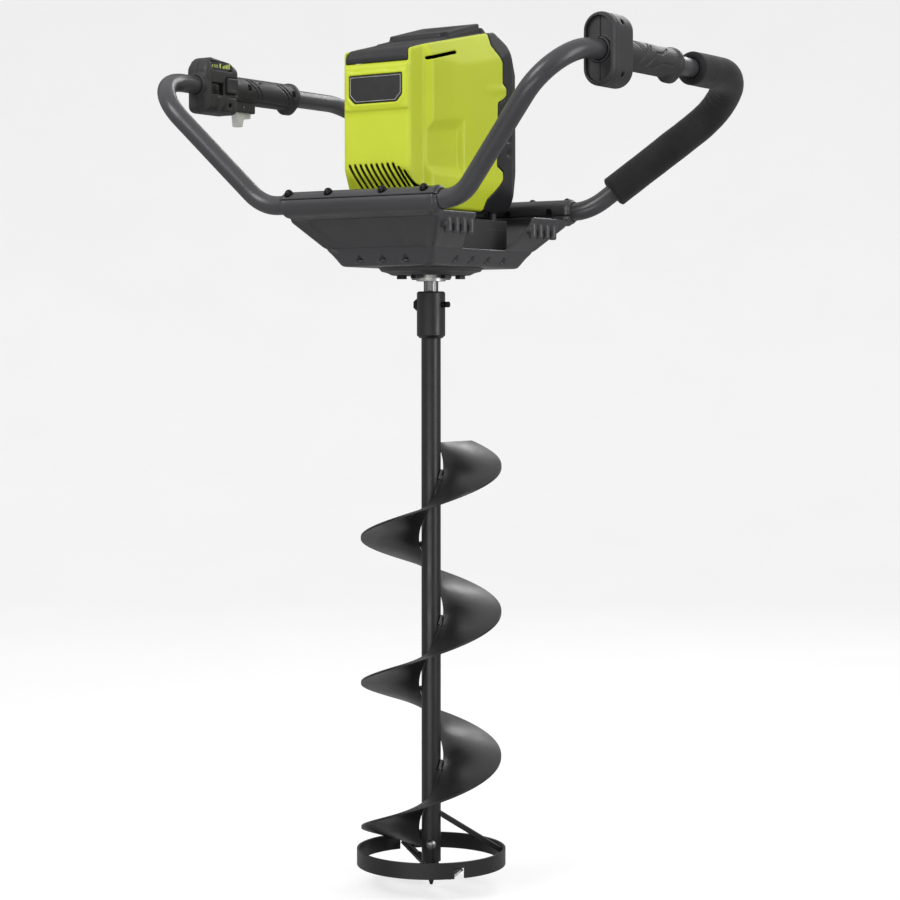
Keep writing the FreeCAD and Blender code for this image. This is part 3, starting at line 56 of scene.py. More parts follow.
class Look:
    """A procedural material under construction: thin helpers round its node tree."""

    def __init__(self, name):
        self.mat = bpy.data.materials.new(name)
        self.mat.use_nodes = True
        self.tree = self.mat.node_tree
        self.tree.nodes.clear()
        self.out = self.add("ShaderNodeOutputMaterial")
        self.bsdf = self.add("ShaderNodeBsdfPrincipled")
        self.link(self.bsdf, "BSDF", self.out, "Surface")
        self.coord = self.add("ShaderNodeTexCoord")
        self.normal = None

    def add(self, kind, **settings):
        node = self.tree.nodes.new(kind)
        for key, value in settings.items():
            setattr(node, key, value)
        return node

    def link(self, source, output, target, name):
        self.tree.links.new(source.outputs[output], target.inputs[name])

    def noise(self, scale, detail=4.0, rough=0.55, stretch=(1, 1, 1)):
        """Noise in object space; scale counts features per metre."""
        place = self.add("ShaderNodeMapping")
        place.inputs["Scale"].default_value = stretch
        self.link(self.coord, "Object", place, "Vector")
        node = self.add("ShaderNodeTexNoise")
        node.inputs["Scale"].default_value = scale
        node.inputs["Detail"].default_value = detail
        node.inputs["Roughness"].default_value = rough
        self.link(place, "Vector", node, "Vector")
        return node

    def cells(self, scale):
        """Voronoi cells in object space."""
        node = self.add("ShaderNodeTexVoronoi")
        node.inputs["Scale"].default_value = scale
        self.link(self.coord, "Object", node, "Vector")
        return node

    def ramp(self, source, output, low, high, start, stop):
        """Maps source between start and stop onto the values or colours low and high."""
        node = self.add("ShaderNodeValToRGB")
        first, last = node.color_ramp.elements
        first.position, last.position = start, stop
        first.color = as_colour(low)
        last.color = as_colour(high)
        self.link(source, output, node, "Fac")
        return node

    def edge_mask(self, radius):
        """1 near sharp edges, 0 elsewhere; later bumps start from the rounded normal."""
        bevel = self.add("ShaderNodeBevel", samples=4)
        bevel.inputs["Radius"].default_value = radius
        geometry = self.add("ShaderNodeNewGeometry")
        dot = self.add("ShaderNodeVectorMath", operation="DOT_PRODUCT")
        self.link(bevel, "Normal", dot, 0)
        self.link(geometry, "Normal", dot, 1)
        self.normal = bevel
        return self.ramp(dot, "Value", 1.0, 0.0, 0.90, 0.995)

    def mix(self, factor, output, low, high):
        """A colour mix; low and high are colours or (node, output) pairs."""
        node = self.add("ShaderNodeMix", data_type="RGBA")
        self.link(factor, output, node, 0)
        for slot, value in ((MIX_LOW, low), (MIX_HIGH, high)):
            if isinstance(value, tuple) and hasattr(value[0], "outputs"):
                self.tree.links.new(value[0].outputs[value[1]], node.inputs[slot])
            else:
                node.inputs[slot].default_value = as_colour(value)
        return node

    def bump(self, source, output, strength, distance):
        """Adds a layer of relief over the ones before it; distance is its depth in metres."""
        node = self.add("ShaderNodeBump")
        node.inputs["Strength"].default_value = strength
        node.inputs["Distance"].default_value = distance
        self.link(source, output, node, "Height")
        if self.normal is not None:
            self.link(self.normal, "Normal", node, "Normal")
        self.normal = node
        self.link(node, "Normal", self.bsdf, "Normal")
        return node

    def set(self, **values):
        for key, value in values.items():
            self.bsdf.inputs[key.replace("_", " ")].default_value = value
        return self


def as_colour(value):
    """A grey level or an RGB colour as RGBA."""
    if isinstance(value, (int, float)):
        return (value, value, value, 1.0)
    return (*value, 1.0) if len(value) == 3 else tuple(value)


def moulded_plastic(name, colour, rough=0.45, grain=2600, grain_depth=0.00006, wear=0.12, mottling=0.06,
                    shine=0.5):
    """Moulded plastic: spark-eroded grain, slight colour drift and paler rubbed edges."""
    look = Look(name)
    drift = look.noise(9, 3)
    dark = tuple(c * (1 - mottling) for c in colour)
    pale = tuple(min(1.0, c * (1 + mottling)) for c in colour)
    tone = look.ramp(drift, "Fac", dark, pale, 0.3, 0.7)
    edge = look.edge_mask(0.0012)
    rub = look.noise(140, 5, 0.7)
    worn = look.add("ShaderNodeMath", operation="MULTIPLY")
    look.link(edge, "Color", worn, 0)
    look.link(look.ramp(rub, "Fac", 0.0, wear, 0.42, 0.62), "Color", worn, 1)
    light = tuple(min(1.0, c * 1.35 + 0.05) for c in colour)
    colour_node = look.mix(worn, "Value", (tone, "Color"), light)
    look.tree.links.new(colour_node.outputs[MIX_RESULT], look.bsdf.inputs["Base Color"])
    smudge = look.noise(22, 6, 0.62)
    look.link(look.ramp(smudge, "Fac", rough - 0.06, rough + 0.09, 0.3, 0.7), "Color", look.bsdf, "Roughness")
    look.bump(look.noise(grain, 2, 0.6), "Fac", 0.35, grain_depth)
    look.set(IOR=1.47)
    look.bsdf.inputs["Specular IOR Level"].default_value = shine
    return look.mat


def powder_coat(name, colour, rough=0.38, peel=420, metallic=0.0, sparkle=0.0, edges=True, depth=0.00012):
    """Powder-coated metal: fine orange peel, tiny flecks and rubbed edges."""
    look = Look(name)
    drift = look.noise(14, 4)
    dark = tuple(c * 0.88 for c in colour)
    pale = tuple(min(1.0, c * 1.12) for c in colour)
    tone = look.ramp(drift, "Fac", dark, pale, 0.3, 0.7)
    rub = look.ramp(look.noise(260, 6, 0.7), "Fac", 0.0, 0.35 if edges else 0.0, 0.5, 0.68)
    worn = look.add("ShaderNodeMath", operation="MULTIPLY")
    if edges:
        look.link(look.edge_mask(0.0009), "Color", worn, 0)
    else:
        worn.inputs[0].default_value = 1.0
    look.link(rub, "Color", worn, 1)
    colour_node = look.mix(worn, "Value", (tone, "Color"), tuple(c * 0.5 + 0.16 for c in colour))
    if sparkle:
        fleck = look.ramp(look.noise(5200, 1, 0.5), "Fac", 0.0, sparkle, 0.66, 0.74)
        colour_node = look.mix(fleck, "Color", (colour_node, MIX_RESULT), (0.5, 0.5, 0.52))
    look.tree.links.new(colour_node.outputs[MIX_RESULT], look.bsdf.inputs["Base Color"])
    smudge = look.noise(30, 5, 0.6)
    look.link(look.ramp(smudge, "Fac", rough - 0.05, rough + 0.08, 0.3, 0.7), "Color", look.bsdf, "Roughness")
    look.bump(look.noise(peel, 3, 0.5), "Fac", 0.25, depth)
    look.bump(look.noise(3200, 2, 0.5), "Fac", 0.2, 0.00003)
    look.set(Metallic=metallic, IOR=1.5)
    return look.mat


def bare_metal(name, colour, rough=0.3, stretch=(1, 1, 40), scratch=260):
    """Machined or ground metal: directional tool marks and uneven polish."""
    look = Look(name)
    drift = look.noise(35, 5)
    dark = tuple(c * 0.78 for c in colour)
    look.link(look.ramp(drift, "Fac", dark, colour, 0.3, 0.7), "Color", look.bsdf, "Base Color")
    marks = look.noise(scratch, 6, 0.65, stretch)
    look.link(look.ramp(marks, "Fac", rough - 0.1, rough + 0.16, 0.3, 0.7), "Color", look.bsdf, "Roughness")
    look.bump(marks, "Fac", 0.18, 0.00006)
    look.set(Metallic=1.0)
    return look.mat


def foam_rubber(name, colour):
    """Closed-cell foam: matt, pitted, with a faint velvet sheen."""
    look = Look(name)
    drift = look.noise(26, 5)
    dark = tuple(c * 0.75 for c in colour)
    pale = tuple(c * 1.25 for c in colour)
    look.link(look.ramp(drift, "Fac", dark, pale, 0.3, 0.7), "Color", look.bsdf, "Base Color")
    look.bump(look.noise(60, 4), "Fac", 0.35, 0.0006)
    look.bump(look.cells(1500), "Distance", 0.5, 0.00022)
    look.bump(look.noise(2600, 3), "Fac", 0.5, 0.00012)
    look.set(Roughness=0.93, IOR=1.3)
    look.bsdf.inputs["Sheen Weight"].default_value = 0.12
    look.bsdf.inputs["Sheen Roughness"].default_value = 0.5
    return look.mat


def gloss(name, colour, rough=0.12):
    """Smooth glossy plastic or film with faint handling marks."""
    look = Look(name)
    tone = look.ramp(look.noise(60, 4), "Fac", tuple(c * 0.8 for c in colour), colour, 0.3, 0.7)
    look.link(tone, "Color", look.bsdf, "Base Color")
    polish = look.ramp(look.noise(90, 6), "Fac", rough, rough + 0.1, 0.35, 0.7)
    look.link(polish, "Color", look.bsdf, "Roughness")
    look.bump(look.noise(700, 3), "Fac", 0.05, 0.00003)
    look.bsdf.inputs["Coat Weight"].default_value = 0.3
    return look.mat


MATERIALS = {
    "shell_lime": moulded_plastic("shell_lime", (0.52, 0.60, 0.026), 0.40, 2400, 0.00005, 0.10, 0.03),
    "black_plastic": moulded_plastic("black_plastic", (0.012, 0.012, 0.014), 0.42, 2000, 0.00008, shine=0.4),
    "grip_plastic": moulded_plastic("grip_plastic", (0.020, 0.020, 0.022), 0.50, 1800, 0.0001),
    "tray_plastic": moulded_plastic("tray_plastic", (0.040, 0.040, 0.043), 0.34, 1500, 0.0001),
    "frame_tube": powder_coat("frame_tube", (0.040, 0.040, 0.044), 0.30, 500, 0.0, 0.12, False, 0.00003),
    "bit_black": powder_coat("bit_black", (0.007, 0.007, 0.008), 0.34, 380),
    "blade_steel": bare_metal("blade_steel", (0.34, 0.34, 0.35), 0.34),
    "dark_screw": bare_metal("dark_screw", (0.03, 0.03, 0.033), 0.38),
    "case_black": powder_coat("case_black", (0.03, 0.03, 0.032), 0.5, 260),
    "zinc_plate": bare_metal("zinc_plate", (0.62, 0.62, 0.60), 0.33),
    "shaft_steel": bare_metal("shaft_steel", (0.30, 0.30, 0.31), 0.30),
    "gear_steel": bare_metal("gear_steel", (0.36, 0.36, 0.38), 0.32),
    "bearing_steel": bare_metal("bearing_steel", (0.66, 0.66, 0.67), 0.2),
    "lamination": bare_metal("lamination", (0.20, 0.20, 0.22), 0.45, (1, 1, 60), 400),
    "copper_wire": bare_metal("copper_wire", (0.70, 0.28, 0.12), 0.32, (1, 1, 8), 900),
    "seal_rubber": foam_rubber("seal_rubber", (0.02, 0.02, 0.02)),
    "foam_black": foam_rubber("foam_black", (0.014, 0.014, 0.015)),
    "board_green": moulded_plastic("board_green", (0.015, 0.12, 0.035), 0.35, 900),
    "trigger_grey": moulded_plastic("trigger_grey", (0.72, 0.72, 0.71), 0.40, 2600, 0.00004),
    "display_black": gloss("display_black", (0.008, 0.008, 0.009), 0.10),
    "badge_black": gloss("badge_black", (0.012, 0.012, 0.013), 0.28),
    "cable_black": moulded_plastic("cable_black", (0.015, 0.015, 0.016), 0.5),
    "spring_steel": bare_metal("spring_steel", (0.6, 0.6, 0.6), 0.25),
    "metal_can": powder_coat("metal_can", (0.06, 0.06, 0.065), 0.4, 400),
}

TRIM = gloss("badge_trim", (0.42, 0.42, 0.43), 0.3)
GAUGE = gloss("display_gauge", (0.62, 0.72, 0.16), 0.35)

SLOT_OF = {part["node"]: part["material_slot"] for part in frame["record"]["subparts"]}
BODY_OF = {node: body for body, members in frame["record"]["behaviour"]["bodies"].items() for node in members}


def dress_frame():
    """Gives every CAD node its procedural material."""
    for node, thing in NODES.items():
        thing.data.materials.clear()
        thing.data.materials.append(MATERIALS[SLOT_OF[node]])


dress_frame()

# ------------------------------------------------------------------ moulded forms

REACH = 3.0  # grid steps each side of a surface that keep true distances
WALL = 2.6
SEAM = 0.3
TUBE_WAY = 12.85
THROUGH = (-400, 400)


class Field:
    """A block of space sampled on a grid; forms in it are signed distances in millimetres."""

    def __init__(self, low, high, step):
        self.low = np.array(low, dtype=np.float32)
        self.step = step
        axes = [np.arange(a, b + step, step, dtype=np.float32) for a, b in zip(low, high)]
        self.shape = tuple(len(axis) for axis in axes)
        self.x = axes[0][:, None, None]
        self.y = axes[1][None, :, None]
        self.z = axes[2][None, None, :]

    def box(self, x, y, z, r=0.0):
        """A box given by its (low, high) spans, with edges rounded to r."""
        d = [np.abs(axis - (span[0] + span[1]) / 2) - (span[1] - span[0]) / 2 + r
             for axis, span in zip((self.x, self.y, self.z), (x, y, z))]
        outside = np.sqrt(sum(np.maximum(part, 0) ** 2 for part in d))
        inside = np.minimum(np.maximum(np.maximum(d[0], d[1]), d[2]), 0)
        return outside + inside - r

    def rod(self, axis, centre, radius, span, r=0.0):
        """A cylinder along x, y or z; centre gives its other two coordinates in order."""
        others = [getattr(self, name) for name in "xyz" if name != axis]
        round_way = np.hypot(others[0] - centre[0], others[1] - centre[1]) - radius + r
        along = np.abs(getattr(self, axis) - (span[0] + span[1]) / 2) - (span[1] - span[0]) / 2 + r
        outside = np.hypot(np.maximum(round_way, 0), np.maximum(along, 0))
        return outside + np.minimum(np.maximum(round_way, along), 0) - r

    def stroke(self, start, finish, radius):
        """A round-ended bar between two points."""
        a = np.array(start, dtype=np.float32)
        d = np.array(finish, dtype=np.float32) - a
        p = (self.x - a[0], self.y - a[1], self.z - a[2])
        t = np.clip((p[0] * d[0] + p[1] * d[1] + p[2] * d[2]) / float(d @ d), 0, 1)
        return np.sqrt((p[0] - d[0] * t) ** 2 + (p[1] - d[1] * t) ** 2 + (p[2] - d[2] * t) ** 2) - radius

    def piece(self, name, form, node, *more, adapt=0.04):
        """Turns a form into a mesh that stands for one or more CAD nodes."""
        values = np.array(np.broadcast_to(form, self.shape), dtype=np.float32) / self.step
        values = np.clip(values, -REACH, REACH)
        for axis in range(3):
            values = np.moveaxis(values, axis, 0)
            values[1:-1] = 0.25 * values[:-2] + 0.5 * values[1:-1] + 0.25 * values[2:]
            values = np.moveaxis(values, 0, axis)
        grid = openvdb.FloatGrid(REACH)
        grid.copyFromArray(np.ascontiguousarray(values), tolerance=0.0)
        points, tris, quads = grid.convertToPolygons(isovalue=0.0, adaptivity=adapt)
        points = (points * self.step + self.low) * MM
        return stand_in(name, points, tris, quads, node, *more)


def signed_volume(points, tris, quads):
    """Six times the enclosed volume, negative when the faces look inwards."""
    total = 0.0
    for faces, corners in ((tris, (0, 1, 2)), (quads, (0, 1, 2)), (quads, (0, 2, 3))):
        if len(faces):
            a, b, c = (points[faces[:, k]] for k in corners)
            total += float(np.einsum("ij,ij->", a, np.cross(b, c)))
    return total


def stand_in(name, points, tris, quads, node, *more):
    """A smooth mesh object that replaces CAD nodes and rides with the first one's body."""
    if signed_volume(points, tris, quads) < 0:
        tris, quads = tris[:, ::-1], quads[:, ::-1]
    split = 3 * len(tris)
    mesh = bpy.data.meshes.new(name)
    mesh.vertices.add(len(points))
    mesh.vertices.foreach_set("co", np.asarray(points, dtype=np.float32).ravel())
    corners = np.concatenate([tris.ravel(), quads.ravel()]).astype(np.int32)
    mesh.loops.add(len(corners))
    mesh.loops.foreach_set("vertex_index", corners)
    starts = np.concatenate([np.arange(0, split, 3), np.arange(split, len(corners), 4)]).astype(np.int32)
    mesh.polygons.add(len(starts))
    mesh.polygons.foreach_set("loop_start", starts)
    mesh.update(calc_edges=True)
    mesh.validate()
    mesh.shade_smooth()
    thing = bpy.data.objects.new(name, mesh)
    bpy.context.scene.collection.objects.link(thing)
    mesh.materials.append(MATERIALS[SLOT_OF[node]])
    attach(thing, BODY_OF[node])
    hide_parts(node, *more)
    return thing


def join(a, b, k):
    """Union with a fillet of about k."""
    h = np.clip(0.5 + 0.5 * (b - a) / k, 0, 1)
    return b * (1 - h) + a * h - k * h * (1 - h)


def meet(a, b, k):
    """Intersection with an edge rounded by about k."""
    return -join(-a, -b, k)


def carve(a, b, k):
    """a with b taken away, its rim rounded by about k."""
    return -join(-a, b, k)


def span(side, near, far):
    """The span from near to far, on the side of the middle that side's sign gives."""
    return (near, far) if side > 0 else (-far, -near)


def cut(a, b):
    """a with b taken away, its rim left sharp."""
    return np.maximum(a, -b)


def hollow(outer):
    """The wall of a moulded shell whose outside is outer."""
    return cut(outer, outer + WALL)


def polygon(a, b, points):
    """Signed distance to a flat outline in the plane of a and b."""
    best = None
    inside = False
    for (ax, ay), (bx, by) in zip(points, list(points[1:]) + [points[0]]):
        ex, ey = bx - ax, by - ay
        wa, wb = a - ax, b - ay
        t = np.clip((wa * ex + wb * ey) / (ex * ex + ey * ey), 0, 1)
        d = (wa - ex * t) ** 2 + (wb - ey * t) ** 2
        best = d if best is None else np.minimum(best, d)
        over, under, left = b >= ay, b < by, ex * wb > ey * wa
        inside = inside ^ ((over & under & left) | (~over & ~under & ~left))
    return np.where(inside, -np.sqrt(best), np.sqrt(best)).astype(np.float32)


def rounded_polygon(a, b, points, r):
    """The same with its outward corners rounded to r."""
    area = sum(p[0] * q[1] - q[0] * p[1] for p, q in zip(points, list(points[1:]) + [points[0]]))
    turn = 1 if area > 0 else -1
    inner = []
    for before, here, after in zip([points[-1]] + list(points[:-1]), points, list(points[1:]) + [points[0]]):
        u = Vector(here) - Vector(before)
        v = Vector(after) - Vector(here)
        u.normalize()
        v.normalize()
        bisect = Vector((-u.y - v.y, u.x + v.x)) * turn
        bisect.normalize()
        cosine = bisect.dot(Vector((-u.y, u.x)) * turn)
        shifted = Vector(here) + bisect * (r / max(cosine, 0.3))
        inner.append((shifted.x, shifted.y))
    return polygon(a, b, inner) - r


def track(a, b, points):
    """Distance to an open broken line in the plane of a and b."""
    best = None
    for (ax, ay), (bx, by) in zip(points, points[1:]):
        ex, ey = bx - ax, by - ay
        t = np.clip(((a - ax) * ex + (b - ay) * ey) / (ex * ex + ey * ey), 0, 1)
        d = np.hypot(a - ax - ex * t, b - ay - ey * t)
        best = d if best is None else np.minimum(best, d)
    return best


# ------------------------------------------------------------------ powerhead housing

PROFILE = ((-104, 930), (-128, 982), (-128, 1137), (54, 1183), (84, 1160), (116, 1122), (119, 985), (98, 930))
PLAN = ((54, -128), (57, -98), (67, -90), (74, -30), (75, 60), (72, 92), (62, 119))
LIME_EDGE = ((-200, 900), (34, 900), (38, 946), (68, 974), (67, 985), (52, 992), (54, 1078), (70, 1085),
             (77, 1090), (76, 1099), (66, 1106), (66, 1134), (47, 1156), (46, 1250), (-200, 1250))
TOP_SLOPE = (1183 - 1137) / (54 + 128)
COVER_HALF = 51.0
COVER_DROP = 17.0
GEAR_WAY = ((0, 15), 38.5)
POSTS = ((42, -42), (-34, -40), (47, 80), (-43, 80))
FLOOR = (900, 940)


def top_height(field):
    """Height above the sloping top plane."""
    return (field.z - (1137 + TOP_SLOPE * (field.y + 128))) * math.cos(math.atan(TOP_SLOPE))


def body_form(field):
    """The closed outer form shared by all parts of the housing."""
    flank = np.abs(field.x)
    left = [(-x, y) for x, y in reversed(PLAN)]
    plan = rounded_polygon(field.x, field.y, list(PLAN) + left, 6.0)
    form = meet(rounded_polygon(field.y, field.z, PROFILE, 7.0), plan, 7.0)
    form = meet(form, (flank - 75.0 + (964.0 - field.z) * 0.42) * 0.92, 4.0)
    crease = 1113.0 + 0.227 * (field.y + 60.0)
    form = meet(form, (flank - 74.5 + 0.36 * (field.z - crease)) * 0.94, 1.5)
    shoulder = (field.z - 1141.0 - 0.2035 * (field.y + 111.0)) * 0.98
    form = carve(form, np.maximum(-shoulder, 49.0 - flank), 2.5)
    form = carve(form, flank_pocket(field), 1.0)
    for side in (-1, 1):
        form = join(form, field.stroke((side * 68.0, 26, 1093), (side * 69.5, 68, 1097), 6.5), 4.0)
    block = field.box((-50, 52.5), (-129.6, -110), (1058, 1117), 2.5)
    return join(form, block, 4.0)


def flank_pocket(field):
    """A hollow in each flank, open towards the nose, with sloping top, bottom and rear."""
    depth = np.abs(field.x) - (60.0 + 0.108 * (field.y + 95.0))
    top = (field.z - 1030.0 - 0.10 * (field.y + 95.0) - 2.0 * depth) / 2.24
    bottom = (985.0 - 2.0 * depth - field.z) / 2.24
    rear = (field.y + 34.0 - 1.1 * depth) / 1.5
    return np.maximum(np.maximum(np.maximum(-depth, top), np.maximum(bottom, rear)), -99.0 - field.y)


def slat_form(field):
    """Leaning cooling slots across the front of the nose and on to its right flank."""
    best = None
    for k in range(11):
        x = -44.0 + 8.9 * k
        top = 986.0 if k < 9 else 986.0 - 5.0 * (k - 8)
        line = track(field.x, field.z, [(x, top), (x + 13.5 * (top - 956.0) / 30.0, 956.0)])
        best = line if best is None else np.minimum(best, line)
    return np.maximum(best - 1.7, field.y + 104.0)


def lime_region(field):
    """Where the housing is the lime front shell or the top cover, in front of the parting line."""
    return polygon(field.y, field.z, LIME_EDGE)


def badge_outline(field, grow):
    """The badge's outline with its two lower corners clipped."""
    clip = 9.0
    left, right = -41.5 - grow, 44.5 + grow
    low, high = 1067.5 - grow, 1104.0 + grow
    corners = ((left, high), (right, high), (right, low + clip), (right - clip, low), (left + clip, low),
               (left, low + clip))
    return rounded_polygon(field.x, field.z, corners, 1.2)


def open_floor(field, form):
    """The floor's opening over the gear case and its holes for four screws."""
    form = cut(form, field.rod("z", *GEAR_WAY, FLOOR))
    for post in POSTS:
        form = cut(form, field.rod("z", post, 2.4, FLOOR))
        form = cut(form, field.rod("z", post, 4.0, (932.2, 945)))
    return form


def make_front_shell():
    """The lime shell: badge seat, cooling slats, a slot high on each flank and the cover's opening."""
    field = Field((-80, -134, 926), (80, 82, 1192), 1.0)
    outer = body_form(field)
    frame_rim = np.maximum(badge_outline(field, 4.5), np.abs(field.y + 128.6) - 2.2)
    outer = join(outer, frame_rim, 1.5)
    cover = np.maximum(-top_height(field) - COVER_DROP, np.abs(field.x) - COVER_HALF)
    form = hollow(outer)
    form = carve(form, np.maximum(badge_outline(field, 0.5), field.y + 127.6), 0.6)
    for side in (-1, 1):
        notch = field.box(span(side, 20.0, 38.0), (-140, -129.2), (1107.6, 1109.6), 0.5)
        form = carve(form, notch, 0.6)
    form = carve(form, slat_form(field), 0.8)
    slot = track(field.y, field.z, [(-94, 1125.5), (-37, 1138.5)]) - 1.8
    form = carve(form, np.maximum(slot, 52.0 - np.abs(field.x)), 1.0)
    form = carve(form, cover, 0.8)
    form = meet(form, lime_region(field) + SEAM, 0.8)
    form = cut(form, field.box((1, 15), (-64, -38), FLOOR))
    form = open_floor(field, form)
    field.piece("housing_front", form, "front_shell")


def make_top_cover():
    """The black cover along the top, with its raised deck, bowl and front air mouth."""
    field = Field((-56, -134, 1108), (56, 70, 1200), 0.9)
    height = top_height(field)
    outer = body_form(field)
    outline = ((-48, 54), (-48, -30), (-40, -37), (40, -37), (48, -30), (48, 54))
    raised = rounded_polygon(field.x, field.y, outline, 3.0)
    raised = meet(meet(raised, height - 6.2, 2.5), -height - 6.0, 1.0)
    outer = join(outer, raised, 2.5)
    bowl = np.hypot(field.x / 40.0, (field.y - 6.0) / 27.0)
    bowl = (height - 7.5 + 6.5 * (1 - np.clip(bowl, 0, 1.3) ** 2)) * -1.0
    outer = carve(outer, np.maximum(bowl, -(height + 4.0)), 1.5)
    brow = ((-128, 1110), (-128, 1126), (-116, 1139.5), (80, 1187), (80, 1110))
    front = rounded_polygon(field.y, field.z, brow, 9.0)
    outer = np.maximum(outer, np.where(field.y < -60, front, -9.0))
    mouth = (np.hypot(field.x / 36.0, (field.y + 88.0) / 11.0) - 1.0) * 9.0
    outer = carve(outer, np.maximum(mouth, -(height + 2.2)), 1.0)
    form = hollow(outer)
    region = np.maximum(-height - COVER_DROP, np.abs(field.x) - COVER_HALF) + SEAM / 2
    form = meet(form, region, 0.4)
    form = meet(form, lime_region(field) + SEAM, 0.8)
    field.piece("housing_top", form, "top_cover")


def make_rear_shell():
    """The black shell behind the parting line, with the battery's bay and four screw posts."""
    field = Field((-80, 20, 926), (80, 126, 1192), 1.0)
    outer = body_form(field)
    flank = np.abs(field.x)
    for low in (1008, 1026, 1044, 1062):
        groove = field.box((-90, 90), (78, 104), (low, low + 7), 2.5)
        outer = carve(outer, np.maximum(groove, 71.5 - flank), 1.5)
    form = hollow(outer)
    behind_seam = -lime_region(field) + SEAM
    form = meet(form, behind_seam, 0.8)
    bay_walls = field.box((-46, 46), (59.5, 140), (985, 1127), 2.0)
    room = np.minimum(outer + WALL + 0.6, np.maximum(outer, behind_seam))
    form = np.minimum(form, np.maximum(bay_walls, room))
    form = carve(form, field.box((-43.4, 43.4), (62.0, 160), (987.6, 1124.4), 2.0), 1.5)
    screws = [(x, z) for x in (-58, 58) for z in (985, 1095)]
    for place in screws:
        form = np.minimum(form, np.maximum(field.rod("y", place, 6.5, (59, 130)), room))
    for place in screws:
        form = cut(form, field.rod("y", place, 4.4, (64.6, 200)))
        form = cut(form, field.rod("y", place, 1.9, (40, 80)))
    form = open_floor(field, form)
    field.piece("housing_rear", form, "rear_shell")


def make_battery():
    """The battery, shaped by the bay in front and by the housing's outside behind."""
    field = Field((-46, 58, 984), (46, 124, 1130), 0.9)
    form = np.maximum(field.box((-42.6, 42.6), (62.4, 117.0), (988.4, 1123.6), 6.0), body_form(field) - 0.6)
    form = carve(form, field.box((-16.2, 16.2), (90, 130), (1096, 1140), 3.0), 1.5)
    for low in (1004, 1018, 1032, 1046):
        form = carve(form, field.box((-30, 30), (115.4, 130), (low, low + 6), 2.0), 1.2)
    for side in (-1, 1):
        form = carve(form, field.box(span(side, 35.0, 41.0), (58, 92), (980, 992), 0.5), 0.8)
    field.piece("battery_body", form, "battery_pack")


def make_latch():
    """The battery's ribbed latch button."""
    field = Field((-18, 88, 1098), (18, 118, 1120), 0.5)
    form = field.box((-15.4, 15.4), (92.0, 114.0), (1102.0, 1116.0), 2.5)
    for k in range(4):
        form = carve(form, field.box((-11, 11), (96.5 + 4.2 * k, 98.3 + 4.2 * k), (1114.8, 1120), 0.6), 0.6)
    field.piece("battery_latch_button", form, "battery_latch")


def make_badge():
    """A blank plate with a plain border."""
    field = Field((-44, -132, 1064), (48, -124, 1108), 0.5)
    form = meet(badge_outline(field, 0.0), np.abs(field.y + 128.7) - 1.0, 0.6)
    field.piece("badge_blank", form, "badge_plate")
    field = Field((-44, -131, 1064), (48, -126, 1108), 0.4)
    line = np.abs(badge_outline(field, -2.2)) - 0.6
    trim = field.piece("badge_trim", np.maximum(line, np.abs(field.y + 129.7) - 0.4), "badge_plate")
    trim.data.materials.clear()
    trim.data.materials.append(TRIM)


# ------------------------------------------------------------------ tray


def tray_halves(z, inset):
    """Half width and half length of the tray's outline at each height."""
    levels = (853.0, 875.0, 911.0, 920.0)
    wide = np.interp(z, levels, (76.0, 88.0, 119.0, 123.0)).astype(np.float32) - inset
    deep = np.interp(z, levels, (109.0, 116.0, 155.0, 163.0)).astype(np.float32) - inset
    return wide, deep


def dish(field, inset, r):
    """The tray's tapering body, drawn in by inset; 0.80 turns widths into distances on its sloping walls."""
    wide, deep = tray_halves(field.z, inset)
    a = np.abs(field.x) - wide + r
    b = np.abs(field.y) - deep + r
    return (np.hypot(np.maximum(a, 0), np.maximum(b, 0)) + np.minimum(np.maximum(a, b), 0) - r) * 0.80


RIM_Y, RIM_Z = 174.0, 934.0
RIM_ENDS = {-1: (-111.0, 137.0), 1: (-103.0, 119.0)}
SCREW_LINE = {-1: (-102.0, -36.0, 52.0, 118.0), 1: (-90.0, -32.0, 48.0, 106.0)}
LOCK_LINE = {-1: (-80.0, -14.0, 30.0, 96.0), 1: (-77.0, -12.0, 22.0, 92.0)}


def rim_form(field, side):
    """A round rim along x that holds a handle tube, with beaded ends."""
    low, high = RIM_ENDS[side]
    rim = field.rod("x", (side * RIM_Y, RIM_Z), 17.0, (low, high), 2.0)
    for start, finish in ((low, low + 5), (high - 5, high)):
        rim = join(rim, field.rod("x", (side * RIM_Y, RIM_Z), 17.8, (start, finish), 1.4), 1.0)
    neck = field.rod("x", (side * RIM_Y, RIM_Z), 14.9, (low - 5, high + 5), 1.5)
    return join(rim, neck, 0.8)


def strip_side(field, side):
    """Positive on the clamp strip's side of the parting plane."""
    turn = math.radians(side * 22)
    return -(field.y - side * RIM_Y) * math.sin(turn) + (field.z - RIM_Z) * math.cos(turn)


def screw_way(side):
    """The way the clamp screws point, leaning outwards."""
    tilt = math.radians(32.0)
    return Vector((0, side * math.sin(tilt), math.cos(tilt)))


def press_walls(field, outer):
    """Rounded corner risers and a sunk panel in each long wall."""
    deep = tray_halves(field.z, 0.0)[1]
    for side in (-1, 1):
        for across in (-1, 1):
            rise = field.stroke((across * 74, side * 105, 866), (across * 117, side * 151, 915), 5.0)
            outer = join(outer, rise, 6.0)
        panel = rounded_polygon(-side * field.x, field.z, ((-70, 881), (44, 881), (60, 914), (-98, 914)), 7.0)
        depth = (deep - side * field.y) * 0.75
        outer = carve(outer, np.maximum(panel, depth - 1.8), 1.0)
    return outer


